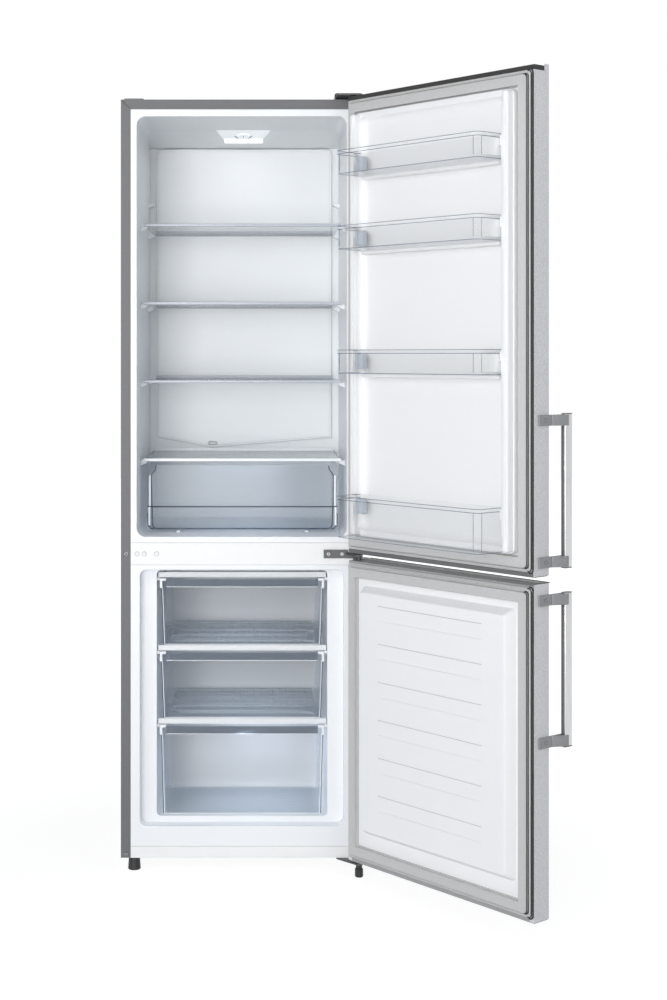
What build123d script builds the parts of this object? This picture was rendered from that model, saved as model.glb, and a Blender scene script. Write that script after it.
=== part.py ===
from build123d import *
import os

os.makedirs("parts", exist_ok=True)

# Free-standing fridge freezer: fridge above, freezer below, both doors hinged on the right.
# X runs across the front, Y into the cabinet and Z up. The front face is Y = 0, the floor Z = 0.

# Fits and wall thicknesses
clear = 0.3
running = 0.05
steel = 0.8
formed = 2.0
moulded = 2.5
glass = 4.0

# Cabinet shell
width = 550.0
body_depth = 500.0
base_z = 32.0
body_height = 1724.0
front_return = 22.0
rear_return = 15.0
base_sheet = 1.0
plinth_height = 25.7
mullion_low = 698.0
mullion_height = 50.0
rail_depth = 14.0
niche_depth = 169.0
niche_top = 236.0

# Fridge compartment
fridge_wall = 36.0
fridge_back_wall = 60.0
fridge_sill = 13.5
fridge_header = 16.0
fridge_corner = 20.0
ceiling_run = 253.0
ceiling_fall = 20.0
cold_wall_margin = 18.0
cold_wall_rise = 8.0
cold_wall_corner = 16.0
cold_wall_round = 6.0
cold_wall_below_ceiling = 22.0
gutter_rise = 205.0
gutter_fall = 25.0
gutter_x = -79.0
drain_slot_width = 22.0
drain_slot_height = 9.0
drain_slot_rise = 10.0
drain_radius = 4.2
drain_wall = 1.5

# Freezer compartment
recess_wall = 43.0
recess_depth = 35.0
recess_sill = 46.0
recess_header = 10.7
recess_corner = 16.0
cavity_margin = 36.5
cavity_back_wall = 80.0
cavity_corner = 10.0
cavity_rise = 14.0
cavity_fall = 6.0
step_back_wall = 200.0
step_height = 170.0

# Glass shelves, the lugs that they rest on and the crisper
crisper_space = 171.0
shelf_headroom = 237.4
shelf_count = 3
shelf_margin = 9.0
shelf_front = 98.0
shelf_rear_gap = 20.0
cover_front = 92.0
trim_lip = 1.5
trim_deep = 10.0
trim_wall = 2.5
trim_upstand = 8.0
rest_width = 15.0
rest_height = 6.0
rest_setback = 14.0
rest_length = 26.0
rest_gap = 2.0
spare_rest_rise = 78.0
crisper_margin = 17.0
crisper_front = 100.0
crisper_rear_gap = 35.0
crisper_height = 152.0
crisper_band = 56.0
crisper_setback = 6.0
crisper_corner = 14.0
crisper_round = 12.0
crisper_notch_width = 19.5
crisper_notch_step = 9.0
crisper_notch_height = 23.0
crisper_notch_slope = 14.0
crisper_notch_depth = 32.0
runner_height = 3.5
runner_width = 8.0
runner_inset = 89.0

# Freezer drawers and the evaporator grids that carry them
grid_count = 3
grid_pitch = 168.5
grid_below_ceiling = 5.5
grid_rail = 12.0
grid_rail_deep = 6.0
grid_front = 48.0
grid_rear_gap = 20.0
grid_wires = 24
grid_wire_radius = 0.9
grid_wire_margin = 8.0
grid_tube_radius = 4.0
grid_tube_passes = 5
grid_tube_margin = 24.0
grid_tube_inset = 30.0
bend_slack = 1.0
lug_rise = 6.0
drawer_side_gap = 11.5
drawer_draw_in = 12.0
drawer_front = 46.0
drawer_rear_gap = 35.0
low_drawer_rear_gap = 15.0
drawer_gap = 14.0
drawer_corner = 10.0
drawer_rim = 4.0
drawer_band = 18.0
drawer_lip = 12.0

# Doors
door_side_gap = 0.5
door_gap = 12.0
door_thick = 47.0
door_edge_round = 5.0
door_return = 12.0
fridge_door_over = 3.5
fridge_door_rise = 32.5
freezer_door_over = 19.5
freezer_door_rise = 7.8
freezer_flange_lift = 6.0
hinge_inset = 10.5
hinge_forward = 35.0
photo_swing = 129.5
notch_height = 14.0
notch_depth = 31.0
cap_height = 10.0
cap_wall = 3.0
cap_drop = 4.0
skin_lift = 1.5
pin_radius = 4.0
pin_reach = 9.0

# Door liners, seals and bins
seal_width = 31.0
seal_edge = 3.5
seal_base = 3.2
seal_corner = 6.0
seal_inner_corner = 3.0
bulb_corner = 8.0
bulb_inset = 9.0
bulb_width = 20.0
plateau_inset = 38.5
plateau_corner = 14.0
plateau_margin = 34.0
plateau_rise = 4.0
pocket_floor = 4.0
pocket_corner = 26.0
pocket_round = 22.0
pocket_margin = 8.0
dyke_width = 17.0
dyke_foot_inset = 2.0
dyke_slope = 6.0
dyke_end_slope = 28.0
dyke_corner = 4.0
dyke_round = 3.0
dyke_rise = 24.0
dyke_margin = 8.0
bin_end_gap = 8.0
bin_deep = 84.0
bin_back = 8.0
bin_height = 52.0
bottle_bin_height = 91.0
first_bin_drop = 190.5
second_bin_drop = 354.5
third_bin_drop = 625.0
bottle_bin_rise = 46.5
bin_rim = 6.0
bin_rim_height = 4.0
bin_band = 7.0
bin_band_proud = 0.7
bin_corner = 12.0
bin_rear_corner = 4.0
lug_deep = 14.0
lug_drop = 20.0
lug_gap = 2.0
bin_ledge_inset = 6.0
bin_ledge_deep = 8.0
bin_ledge_corner = 3.8
bin_ledge_round = 3.0
freezer_pad_inset = 46.5
freezer_pad_slope = 14.0
freezer_pad_rise = 22.0
freezer_pad_below = 72.2
freezer_pad_above = 53.5
freezer_pad_corner = 11.0
freezer_pad_top_corner = 9.0
freezer_pad_round = 4.0
groove_inset = 60.0
groove_taper = 50.0
groove_height = 32.5
groove_pitch = 83.0
groove_first_rise = 66.5
groove_count = 6
groove_sink = 1.0

# Handles
handle_length = 313.0
bar_width = 17.0
bar_deep = 12.0
bar_round = 5.0
bar_end_round = 1.5
bar_standoff = 37.0
bracket_height = 22.0
bracket_thick = 5.0
bracket_inset = 3.0
bracket_reach = 36.0
bracket_groove = 1.2
bracket_groove_near = 2.4
bracket_groove_far = 6.0
cap_disc_radius = 4.5
cap_disc_rise = 0.4
fridge_handle_rise = 14.5
freezer_handle_drop = 20.5

# Hinges, feet, rollers and small fixings
hinge_plate = 3.0
hinge_plate_width = 60.0
hinge_plate_back = 60.0
hinge_joggle = 4.0
hinge_nose = 9.0
hinge_tip = 8.0
hinge_corner = 7.0
hinge_screw_inset = 12.0
top_screw_near = 25.0
top_screw_far = 48.0
low_screw_near = 20.0
low_screw_far = 42.0
cover_rise = 15.0
cover_wall = 1.6
cover_back = 75.0
cover_corner = 8.0
cover_round = 3.0
blank_width = 46.0
blank_inset = 6.0
blank_setback = 2.0
blank_corner = 6.0
blank_rise = 3.0
mid_plate_width = 89.0
mid_plate_height = 19.5
arm_thick = 4.0
foot_radius = 14.5
foot_inset = 29.0
foot_back = 24.0
foot_chamfer = 1.5
foot_taper = 2.0
hinge_foot_radius = 9.3
foot_neck_radius = 7.0
foot_neck_low = 8.0
foot_neck_high = 5.0
stud_radius = 4.0
boss_height = 6.0
roller_radius = 22.0
roller_width = 20.0
roller_chamfer = 1.5
roller_inset = 55.0
roller_from_back = 25.0
ear_thick = 3.0
ear_reach = 10.0
tray_z = 46.0
tray_sheet = 2.0
tray_flange = 25.0
screw_head_radius = 4.5
screw_head = 2.5
screw_radius = 2.2
screw_length = 8.0
screw_taper = 20.0
plug_radius = 4.5
plug_head = 1.0
first_plug_inset = 37.0
second_plug_inset = 53.0
third_plug_inset = 81.0
outer_screw_inset = 47.5
inner_screw_inset = 78.0
flange_screw_inset = 12.0
flange_screw_low = 8.0

# Lamp and thermostat box
lamp_front = 235.0
lamp_back = 290.0
lamp_front_width = 130.0
lamp_back_width = 97.0
lamp_edge = 1.0
lamp_fall = 13.3
lens_deep = 18.7
lens_width = 95.0
lens_back = 332.0
lens_corner = 5.0
lens_round = 3.0
knob_run = 33.0
knob_radius = 15.0
knob_gap = 1.0
knob_height = 3.5
knob_sink = 1.5
knob_shaft = 3.0
knob_bore = 4.5
grip_width = 3.0
grip_length = 24.0
grip_height = 1.5

# Machine niche and condenser
compressor_x = -72.0
compressor_from_back = 82.0
compressor_radius = 72.0
compressor_height = 126.0
compressor_top_round = 34.0
compressor_low_round = 18.0
seam_rise = 56.7
seam_width = 3.0
seam_height = 5.0
mount_width = 176.0
mount_deep = 118.0
mount_sheet = 3.0
mount_corner = 14.0
terminal_half = 24.0
terminal_low = 10.0
terminal_high = 56.0
terminal_corner = 5.0
terminal_reach = 34.0
gland_side = 10.0
gland_rise = 22.0
gland_radius = 7.0
gland_reach = 46.0
grommet_gauge_x = 150.0
grommet_gauge_y = 92.0
grommet_radius = 10.0
grommet_height = 12.0
grommet_neck = 5.0
drip_width = 150.0
drip_deep = 128.0
drip_height = 26.0
drip_wall = 2.0
drip_corner = 16.0
drip_round = 6.0
condenser_inset = 60.0
condenser_low = 330.0
condenser_below_top = 326.0
condenser_passes = 11
condenser_standoff = 24.0
condenser_tube = 2.5
condenser_wires = 14
condenser_wire = 0.8
condenser_overhang = 20.0
clip_width = 14.0
clip_corner = 3.0

# Places worked out from the sizes above
half = width / 2
top_z = base_z + body_height
niche_front = body_depth - niche_depth
fridge_width = width - 2 * fridge_wall
fridge_depth = body_depth - fridge_back_wall
cold_wall_width = fridge_width - 2 * cold_wall_margin
recess_width = width - 2 * recess_wall
cavity_width = recess_width - 2 * cavity_margin
cavity_depth = body_depth - cavity_back_wall
step_depth = body_depth - step_back_wall
lip_half = half - front_return - clear
fridge_lip_low = mullion_low + mullion_height + clear
fridge_lip_high = top_z - front_return - clear
fridge_floor = fridge_lip_low + fridge_sill
fridge_ceiling = fridge_lip_high - fridge_header
freezer_lip_low = base_z + plinth_height + clear
freezer_lip_high = mullion_low - clear
recess_floor = freezer_lip_low + recess_sill
recess_ceiling = freezer_lip_high - recess_header
cavity_floor = recess_floor + cavity_rise
cavity_ceiling = recess_ceiling - cavity_fall
step_top = cavity_floor + step_height
cover_top = fridge_floor + crisper_space
shelf_pitch = (fridge_ceiling - cover_top - shelf_headroom) / shelf_count
shelf_tops = [cover_top + shelf_pitch * level for level in range(1, shelf_count + 1)]
shelf_width = fridge_width - 2 * shelf_margin
shelf_back = fridge_depth - shelf_rear_gap
rest_tops = [top - glass - clear for top in (cover_top, *shelf_tops)]
spare_rest_top = rest_tops[-1] + spare_rest_rise
rear_rest = shelf_back - rest_setback - rest_length
crisper_width = fridge_width - 2 * crisper_margin
crisper_back = fridge_depth - crisper_rear_gap
runner_gauge = fridge_width - 2 * runner_inset
grid_back = cavity_depth - grid_rear_gap
drawer_back = cavity_depth - drawer_rear_gap
low_drawer_back = step_depth - low_drawer_rear_gap
drawer_top_width = cavity_width - 2 * drawer_side_gap
drawer_bottom_width = drawer_top_width - drawer_draw_in
grid_tops = [cavity_ceiling - grid_below_ceiling - grid_pitch * level for level in range(grid_count)]
hinge_x = half - hinge_inset
hinge_y = -hinge_forward
hinge_line = Axis((hinge_x, hinge_y, 0), (0, 0, 1))
door_half = half - door_side_gap
fridge_door_low = mullion_low + fridge_door_rise
fridge_door_high = top_z + fridge_door_over
freezer_door_low = base_z + freezer_door_rise
freezer_door_high = mullion_low + freezer_door_over
plateau_half = door_half - plateau_inset
dyke_inner = plateau_half - dyke_width
bin_half = dyke_inner - bin_end_gap
bin_lows = [fridge_door_high - drop for drop in (first_bin_drop, second_bin_drop, third_bin_drop)]
bottle_bin_low = fridge_door_low + bottle_bin_rise
freezer_pad_half = door_half - freezer_pad_inset
freezer_pad_low = freezer_door_low + freezer_pad_below
freezer_pad_high = freezer_door_high - freezer_pad_above
groove_half = freezer_pad_half - freezer_pad_slope - groove_inset
fridge_handle_low = fridge_door_low + fridge_handle_rise
freezer_handle_low = freezer_door_high - freezer_handle_drop - handle_length
door_inner = -door_gap
door_outer = door_inner - door_thick
pad_face = door_inner + freezer_pad_rise
mullion_mid = mullion_low + mullion_height / 2
door_split = (fridge_door_low + freezer_door_high) / 2
gutter_low = fridge_floor + gutter_rise - gutter_fall
drain_z = gutter_low + drain_slot_rise
pipe_y = (fridge_depth + formed + body_depth) / 2
pipe_low = niche_top - drip_wall
pipe_radius = drain_radius + drain_wall
back_y = body_depth + steel
condenser_y = back_y + condenser_standoff
condenser_width = width - 2 * condenser_inset
condenser_pitch = (top_z - condenser_below_top - condenser_low) / (condenser_passes - 1)
hinge_arm_z = fridge_door_high + clear
foot_x = -half + foot_inset
flange_screw_x = half - flange_screw_inset
flange_screw_zs = (base_z + flange_screw_low, mullion_mid)
tray_top = tray_z + tray_sheet
mount_z = tray_top + grommet_height + clear
compressor_z = mount_z + mount_sheet
compressor_top = compressor_z + compressor_height
compressor_y = body_depth - compressor_from_back
roller_x = half - roller_inset
roller_back = body_depth - roller_from_back
hinge_plate_left = half - hinge_plate_width
mid_plate_left = half - mid_plate_width
plug_places = [inset - half for inset in (first_plug_inset, second_plug_inset, third_plug_inset)]
hinge_screw_places = [half - inset for inset in (inner_screw_inset, outer_screw_inset)]
top_screw_places = [(hinge_plate_left + hinge_screw_inset, y) for y in (top_screw_near, top_screw_far)]
low_screw_places = [(hinge_plate_left + hinge_screw_inset, y) for y in (low_screw_near, low_screw_far)]


def rect(left, right, low, high, mode=Mode.ADD):
    """Rectangle given by its four sides, in the sketch's own axes."""
    with Locations(((left + right) / 2, (low + high) / 2)):
        Rectangle(right - left, high - low, mode=mode)


def rounded(left, right, low, high, radius, mode=Mode.ADD):
    """Rectangle with rounded corners given by its four sides."""
    with Locations(((left + right) / 2, (low + high) / 2)):
        RectangleRounded(right - left, high - low, radius, mode=mode)


def front_plane(depth):
    """Upright plane facing the front, this far into the cabinet; its axes are X and Z."""
    return Plane.XZ.offset(-depth)


def save(builder, name, swing=0.0):
    """Writes one piece, turned about the hinge line if a door carries it."""
    piece = builder.part.rotate(hinge_line, swing) if swing else builder.part
    piece.label = name
    export_step(piece, f"parts/{name}.step")


# Seats of the screws, each facing the way its head does
forward = (0, -1, 0)
screw_planes = [Plane((x, -hinge_plate, mullion_mid), z_dir=forward) for x in hinge_screw_places]
screw_planes += [Plane((-flange_screw_x, 0, z), z_dir=forward) for z in flange_screw_zs]
screw_planes += [Plane((x, y, top_z + hinge_plate), z_dir=(0, 0, 1)) for x, y in top_screw_places]
screw_planes += [Plane((x, y, base_z - hinge_plate), z_dir=(0, 0, -1)) for x, y in low_screw_places]


def fridge_cavity(grow):
    """Space inside the fridge with its ceiling falling to the back, grown outward by grow."""
    side = fridge_width / 2 + grow
    top = fridge_ceiling + grow
    back = fridge_depth + grow
    with BuildPart() as space:
        with BuildSketch(front_plane(0)):
            rounded(-side, side, fridge_floor - grow, top, fridge_corner + grow)
        extrude(amount=-back)
        with BuildSketch(Plane.YZ):
            with BuildLine():
                Polyline((ceiling_run, top), (back, top - ceiling_fall), (back, top), close=True)
            make_face()
        extrude(amount=side, both=True, mode=Mode.SUBTRACT)
    return space.part


def freezer_cavity(grow):
    """Space inside the freezer: door recess, drawer space and the step, grown outward by grow."""
    side = cavity_width / 2 + grow
    recess_side = recess_width / 2 + grow
    with BuildPart() as space:
        with BuildSketch(front_plane(0)):
            low = recess_floor - grow
            rounded(-recess_side, recess_side, low, recess_ceiling + grow, recess_corner + grow)
        extrude(amount=-(recess_depth + grow))
        with BuildSketch(front_plane(0)):
            rounded(-side, side, cavity_floor - grow, cavity_ceiling + grow, cavity_corner + grow)
        extrude(amount=-(step_depth + grow))
        with BuildSketch(front_plane(0)):
            rounded(-side, side, step_top - grow, cavity_ceiling + grow, cavity_corner + grow)
        extrude(amount=-(cavity_depth + grow))
    return space.part


def cold_wall(inset):
    """Raised field of the fridge's back wall with a V along its lower edge, drawn in by inset."""
    side = cold_wall_width / 2
    high = fridge_ceiling - cold_wall_below_ceiling
    with BuildPart() as field:
        with BuildSketch(front_plane(fridge_depth + formed)) as outline:
            with BuildLine():
                Polyline(
                    (-side, gutter_low + gutter_fall),
                    (gutter_x, gutter_low),
                    (side, gutter_low + gutter_fall),
                    (side, high),
                    (-side, high),
                    close=True,
                )
            make_face()
            fillet(outline.vertices().group_by(Axis.Y)[-1], cold_wall_corner)
            if inset:
                offset(amount=-inset, mode=Mode.REPLACE)
        extrude(amount=cold_wall_rise + formed - inset)
        fillet(field.faces().sort_by(Axis.Y)[0].edges(), cold_wall_round - inset)
    return field.part


# Left side panel: one folded sheet with a front return, mitred at its top, and a rear return
with BuildPart() as side_panel_left:
    with BuildSketch(Plane.XY.offset(base_z)):
        rect(-half, -half + steel, 0, body_depth)
        rect(-half, -half + front_return, 0, steel)
        rect(-half, -half + rear_return, body_depth - steel, body_depth)
    extrude(amount=body_height - steel)
    with BuildSketch(front_plane(0)):
        with BuildLine():
            Polyline(
                (-half + front_return, top_z - front_return),
                (-half + steel, top_z - steel),
                (-half + front_return, top_z - steel),
                close=True,
            )
        make_face()
        with Locations(*[(-flange_screw_x, z) for z in flange_screw_zs]):
            Circle(screw_radius + clear)
    extrude(amount=-steel, mode=Mode.SUBTRACT)
save(side_panel_left, "side_panel_left")

with BuildPart() as side_panel_right:
    mirror(side_panel_left.part, about=Plane.YZ)
save(side_panel_right, "side_panel_right")

# Top panel with its front return mitred to both sides
with BuildPart() as top_panel:
    with BuildSketch(Plane.XY.offset(top_z)):
        rect(-half, half, 0, body_depth)
        with Locations(*top_screw_places):
            Circle(screw_radius + clear, mode=Mode.SUBTRACT)
    extrude(amount=-steel)
    with BuildSketch(front_plane(0)):
        with BuildLine():
            Polyline(
                (-half + front_return, top_z - front_return),
                (half - front_return, top_z - front_return),
                (half - steel, top_z - steel),
                (-half + steel, top_z - steel),
                close=True,
            )
        make_face()
    extrude(amount=-steel)
save(top_panel, "top_panel")

# Back panel with four clips that hold the condenser off it
with BuildPart() as back_panel:
    with BuildSketch(front_plane(body_depth)):
        rect(-half + steel, half - steel, niche_top, top_z)
    extrude(amount=-steel)
    clip_zs = [condenser_low + condenser_pitch * step for step in (1, condenser_passes - 2)]
    clip_x = condenser_width / 4
    with BuildSketch(front_plane(back_y)):
        with Locations(*[(side * clip_x, z) for side in (-1, 1) for z in clip_zs]):
            RectangleRounded(clip_width, clip_width, clip_corner)
    extrude(amount=-(condenser_standoff - condenser_tube - clear))
save(back_panel, "back_panel")

# Base plate: turned up at the front as the plinth and stepped over the machine niche
with BuildPart() as base_plate:
    wide = half - steel - clear
    with BuildSketch(Plane.YZ):
        with BuildLine():
            Polyline(
                (steel + clear, base_z),
                (niche_front, base_z),
                (niche_front, niche_top),
                (body_depth - steel - clear, niche_top),
                (body_depth - steel - clear, niche_top + base_sheet),
                (niche_front - base_sheet, niche_top + base_sheet),
                (niche_front - base_sheet, base_z + base_sheet),
                (steel + clear, base_z + base_sheet),
                close=True,
            )
        make_face()
    extrude(amount=wide, both=True)
    with BuildSketch(Plane.YZ):
        rect(0, base_sheet, base_z, base_z + plinth_height)
        rect(0, 2 * steel, base_z, base_z + base_sheet)
    extrude(amount=lip_half, both=True)
    with BuildSketch(Plane.XY.offset(base_z)):
        with Locations((foot_x, foot_back)):
            Circle(2 * stud_radius)
    extrude(amount=2 * boss_height)
    with BuildSketch(Plane.XY.offset(base_z)):
        with Locations((foot_x, foot_back)):
            Circle(stud_radius + running)
        with Locations(*low_screw_places):
            Circle(screw_radius + clear)
    extrude(amount=2 * boss_height, mode=Mode.SUBTRACT)
    with BuildSketch(Plane.XY.offset(niche_top)):
        with Locations((gutter_x, pipe_y)):
            Circle(pipe_radius + clear)
    extrude(amount=base_sheet, mode=Mode.SUBTRACT)
save(base_plate, "base_plate")

# Machine tray: channel across the niche, with ears for the two rear rollers
with BuildPart() as machine_tray:
    tray_front = niche_front + clear
    ear_gap = roller_width / 2 + clear
    with BuildSketch(front_plane(tray_front)):
        rect(-wide, wide, tray_z, tray_top)
        for side in (-1, 1):
            rect(*sorted((side * wide, side * (wide - tray_sheet))), tray_z, tray_z + tray_flange)
    extrude(amount=-(body_depth - steel - clear - tray_front))
    for side in (-1, 1):
        for face in (-1, 1):
            ear_x = side * roller_x + face * (ear_gap + ear_thick / 2)
            with BuildSketch(Plane.YZ.offset(ear_x)):
                with BuildLine():
                    Polyline(
                        (roller_back - roller_radius, tray_z),
                        (roller_back - ear_reach, roller_radius - ear_reach),
                        (roller_back + ear_reach, roller_radius - ear_reach),
                        (roller_back + roller_radius, tray_z),
                        close=True,
                    )
                make_face()
                with Locations((roller_back, roller_radius)):
                    Circle(pin_radius + running, mode=Mode.SUBTRACT)
            extrude(amount=ear_thick / 2, both=True)
save(machine_tray, "machine_tray")

for side, name in ((-1, "rear_roller_left"), (1, "rear_roller_right")):
    with BuildPart() as roller:
        with BuildSketch(Plane.YZ.offset(side * roller_x)):
            with Locations((roller_back, roller_radius)):
                Circle(roller_radius)
        extrude(amount=roller_width / 2, both=True)
        chamfer(roller.edges(), roller_chamfer)
        with BuildSketch(Plane.YZ.offset(side * roller_x)):
            with Locations((roller_back, roller_radius)):
                Circle(pin_radius)
        extrude(amount=roller_width / 2 + ear_thick + clear, both=True)
    save(roller, name)

# Drain pipe: a wide cup behind the drain slot, then a pipe through the foam to the drip tray
with BuildPart() as drain_pipe:
    cup_front = fridge_depth - cold_wall_rise + 2 * formed
    cup_back = fridge_depth + 2 * formed
    for grow, back, mode in ((drain_wall, cup_back, Mode.ADD), (0, cup_back - drain_wall, Mode.SUBTRACT)):
        with BuildSketch(front_plane(cup_front)):
            with Locations((gutter_x, drain_z)):
                SlotOverall(drain_slot_width + 2 * grow, drain_slot_height + 2 * grow)
        extrude(amount=cup_front - back, mode=mode)
    with BuildSketch(front_plane(cup_back)):
        with Locations((gutter_x, drain_z)):
            Circle(drain_radius)
    extrude(amount=drain_wall, mode=Mode.SUBTRACT)
    with BuildLine() as pipe_path:
        FilletPolyline(
            (gutter_x, cup_back, drain_z),
            (gutter_x, pipe_y, drain_z),
            (gutter_x, pipe_y, pipe_low),
            radius=2 * drain_radius,
        )
    with BuildSketch(Plane(origin=pipe_path.line @ 0, z_dir=pipe_path.line % 0)):
        Circle(pipe_radius)
        Circle(drain_radius, mode=Mode.SUBTRACT)
    sweep(path=pipe_path.line)
save(drain_pipe, "drain_pipe")

# Insulating foam between the steel shell and the two liners
with BuildPart() as cabinet_foam:
    foam_front = formed + clear
    foam_back = body_depth - steel - clear
    foam_low = base_z + base_sheet + clear
    over_niche = niche_top + base_sheet + clear
    with BuildSketch(Plane.YZ):
        with BuildLine():
            Polyline(
                (foam_front, foam_low),
                (niche_front - base_sheet - clear, foam_low),
                (niche_front - base_sheet - clear, over_niche),
                (foam_back, over_niche),
                (foam_back, top_z - steel - clear),
                (foam_front, top_z - steel - clear),
                close=True,
            )
        make_face()
    extrude(amount=wide, both=True)
    add(fridge_cavity(formed + clear), mode=Mode.SUBTRACT)
    add(freezer_cavity(formed + clear), mode=Mode.SUBTRACT)
    with BuildSketch(front_plane(0)):
        rect(-half, half, mullion_low - clear, mullion_low + mullion_height + clear)
    extrude(amount=-(rail_depth + clear), mode=Mode.SUBTRACT)
    with BuildSketch(Plane.XY.offset(over_niche)):
        with Locations((gutter_x, pipe_y)):
            Rectangle(drain_slot_width + 2 * (drain_wall + clear), body_depth - fridge_depth)
    extrude(amount=drain_z + 2 * pipe_radius - over_niche, mode=Mode.SUBTRACT)
    with BuildSketch(Plane.XY.offset(foam_low)):
        with Locations((foot_x, foot_back)):
            Circle(2 * stud_radius + clear)
    extrude(amount=2 * boss_height, mode=Mode.SUBTRACT)
    for place in screw_planes:
        with BuildSketch(place):
            Circle(screw_radius + clear)
        extrude(amount=-screw_length - clear, mode=Mode.SUBTRACT)
save(cabinet_foam, "cabinet_foam")

# Fridge liner: formed shell with a raised cold wall, drain slot, shelf lugs and crisper runners
with BuildPart() as fridge_liner:
    inner = fridge_width / 2
    add(fridge_cavity(formed))
    add(fridge_cavity(0), mode=Mode.SUBTRACT)
    with BuildSketch(front_plane(0)):
        rect(-lip_half, lip_half, fridge_lip_low, fridge_lip_high)
        rounded(-inner, inner, fridge_floor, fridge_ceiling, fridge_corner, mode=Mode.SUBTRACT)
    extrude(amount=-formed)
    add(cold_wall(0))
    add(cold_wall(formed), mode=Mode.SUBTRACT)
    with BuildSketch(front_plane(fridge_depth)):
        with Locations((gutter_x, drain_z)):
            SlotOverall(drain_slot_width, drain_slot_height)
    extrude(amount=cold_wall_rise + formed, mode=Mode.SUBTRACT)
    rests = [(top, place) for top in rest_tops for place in (shelf_front + rest_setback, rear_rest)]
    for top, place in (*rests, (spare_rest_top, rear_rest)):
        with BuildSketch(front_plane(place)):
            for side in (-1, 1):
                with BuildLine():
                    Polyline(
                        (side * inner, top),
                        (side * (inner - rest_width), top),
                        (side * (inner - rest_width), top - rest_height),
                        (side * inner, top - 2 * rest_height),
                        close=True,
                    )
                make_face()
        extrude(amount=-rest_length)
    with BuildSketch(front_plane(crisper_front)):
        for side in (-1, 1):
            with Locations((side * runner_gauge / 2, fridge_floor + runner_height / 2)):
                Rectangle(runner_width, runner_height)
    extrude(amount=-(crisper_back - crisper_front))
save(fridge_liner, "fridge_liner")

# Freezer liner: wide recess for the door pad, then the drawer cavity, stepped over the niche
with BuildPart() as freezer_liner:
    wall = cavity_width / 2
    side_recess = recess_width / 2
    add(freezer_cavity(formed))
    add(freezer_cavity(0), mode=Mode.SUBTRACT)
    with BuildSketch(front_plane(0)):
        rect(-lip_half, lip_half, freezer_lip_low, freezer_lip_high)
        rounded(-side_recess, side_recess, recess_floor, recess_ceiling, recess_corner, mode=Mode.SUBTRACT)
    extrude(amount=-formed)
    lug_length = 3 * grid_rail_deep
    for top in grid_tops:
        lug_top = top - grid_rail - clear
        for start in (grid_front - grid_rail_deep, grid_back - 2 * grid_rail_deep):
            with BuildSketch(front_plane(start)):
                for side in (-1, 1):
                    lug_side = sorted((side * wall, side * (wall - lug_rise)))
                    rect(*lug_side, lug_top - lug_rise, lug_top)
            extrude(amount=-lug_length)
save(freezer_liner, "freezer_liner")

# Rail between the two compartments, drilled alike for the hinge at either side
with BuildPart() as mullion_rail:
    with BuildSketch(Plane.YZ):
        rect(0, rail_depth, mullion_low, mullion_low + mullion_height)
        inside = (mullion_low + base_sheet, mullion_low + mullion_height - base_sheet)
        rect(base_sheet, rail_depth, *inside, Mode.SUBTRACT)
    extrude(amount=lip_half, both=True)
    with BuildSketch(front_plane(0)):
        with Locations(*[(x, mullion_mid) for x in (*plug_places, *hinge_screw_places)]):
            Circle(screw_radius + clear)
    extrude(amount=-base_sheet, mode=Mode.SUBTRACT)
save(mullion_rail, "mullion_rail")

# Plugs in the unused hinge holes
with BuildPart() as mullion_plugs:
    with BuildSketch(front_plane(0)):
        with Locations(*[(x, mullion_mid) for x in plug_places]):
            Circle(plug_radius)
    extrude(amount=plug_head)
    with BuildSketch(front_plane(0)):
        with Locations(*[(x, mullion_mid) for x in plug_places]):
            Circle(screw_radius)
    extrude(amount=-2 * base_sheet)
save(mullion_plugs, "mullion_plugs")

# Upper hinge: joggled plate on the cabinet top with a pin down into the door
nose_y = hinge_y - hinge_nose
nose_x = hinge_x + hinge_tip
with BuildPart() as top_hinge:
    with BuildSketch(Plane.YZ.offset(hinge_plate_left)):
        with BuildLine():
            Polyline(
                (hinge_plate_back, top_z),
                (2 * hinge_joggle, top_z),
                (0, hinge_arm_z),
                (nose_y, hinge_arm_z),
                (nose_y, hinge_arm_z + hinge_plate),
                (0, hinge_arm_z + hinge_plate),
                (2 * hinge_joggle, top_z + hinge_plate),
                (hinge_plate_back, top_z + hinge_plate),
                close=True,
            )
        make_face()
    extrude(amount=nose_x - hinge_plate_left)
    fillet(top_hinge.edges().filter_by(Axis.Z).group_by(Axis.Y)[0], hinge_corner)
    with BuildSketch(Plane.XY.offset(hinge_arm_z)):
        with Locations((hinge_x, hinge_y)):
            Circle(pin_radius)
    extrude(amount=-(cap_drop + pin_reach))
    with BuildSketch(Plane.XY.offset(top_z)):
        with Locations(*top_screw_places):
            Circle(screw_radius + clear)
    extrude(amount=2 * hinge_plate, mode=Mode.SUBTRACT)
save(top_hinge, "top_hinge")

# Cover over the upper hinge, and the blank that closes the other corner
with BuildPart() as top_hinge_cover:
    cover_left = hinge_plate_left - 2 * cover_wall - clear
    cover_right = half - clear
    with BuildSketch(Plane.XY.offset(top_z)):
        rounded(cover_left, cover_right, clear, cover_back, cover_corner)
    extrude(amount=cover_rise)
    fillet(top_hinge_cover.edges().group_by(Axis.Z)[-1], cover_round)
    with BuildSketch(Plane.XY.offset(top_z)):
        room = (cover_left + cover_wall, cover_right - cover_wall)
        rounded(*room, clear + cover_wall, cover_back - cover_wall, cover_corner - cover_wall)
    extrude(amount=cover_rise - cover_wall, mode=Mode.SUBTRACT)
    with BuildSketch(front_plane(0)):
        rect(hinge_plate_left - clear, half, top_z, hinge_arm_z + hinge_plate + clear)
    extrude(amount=-2 * hinge_joggle, mode=Mode.SUBTRACT)
save(top_hinge_cover, "top_hinge_cover")

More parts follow.
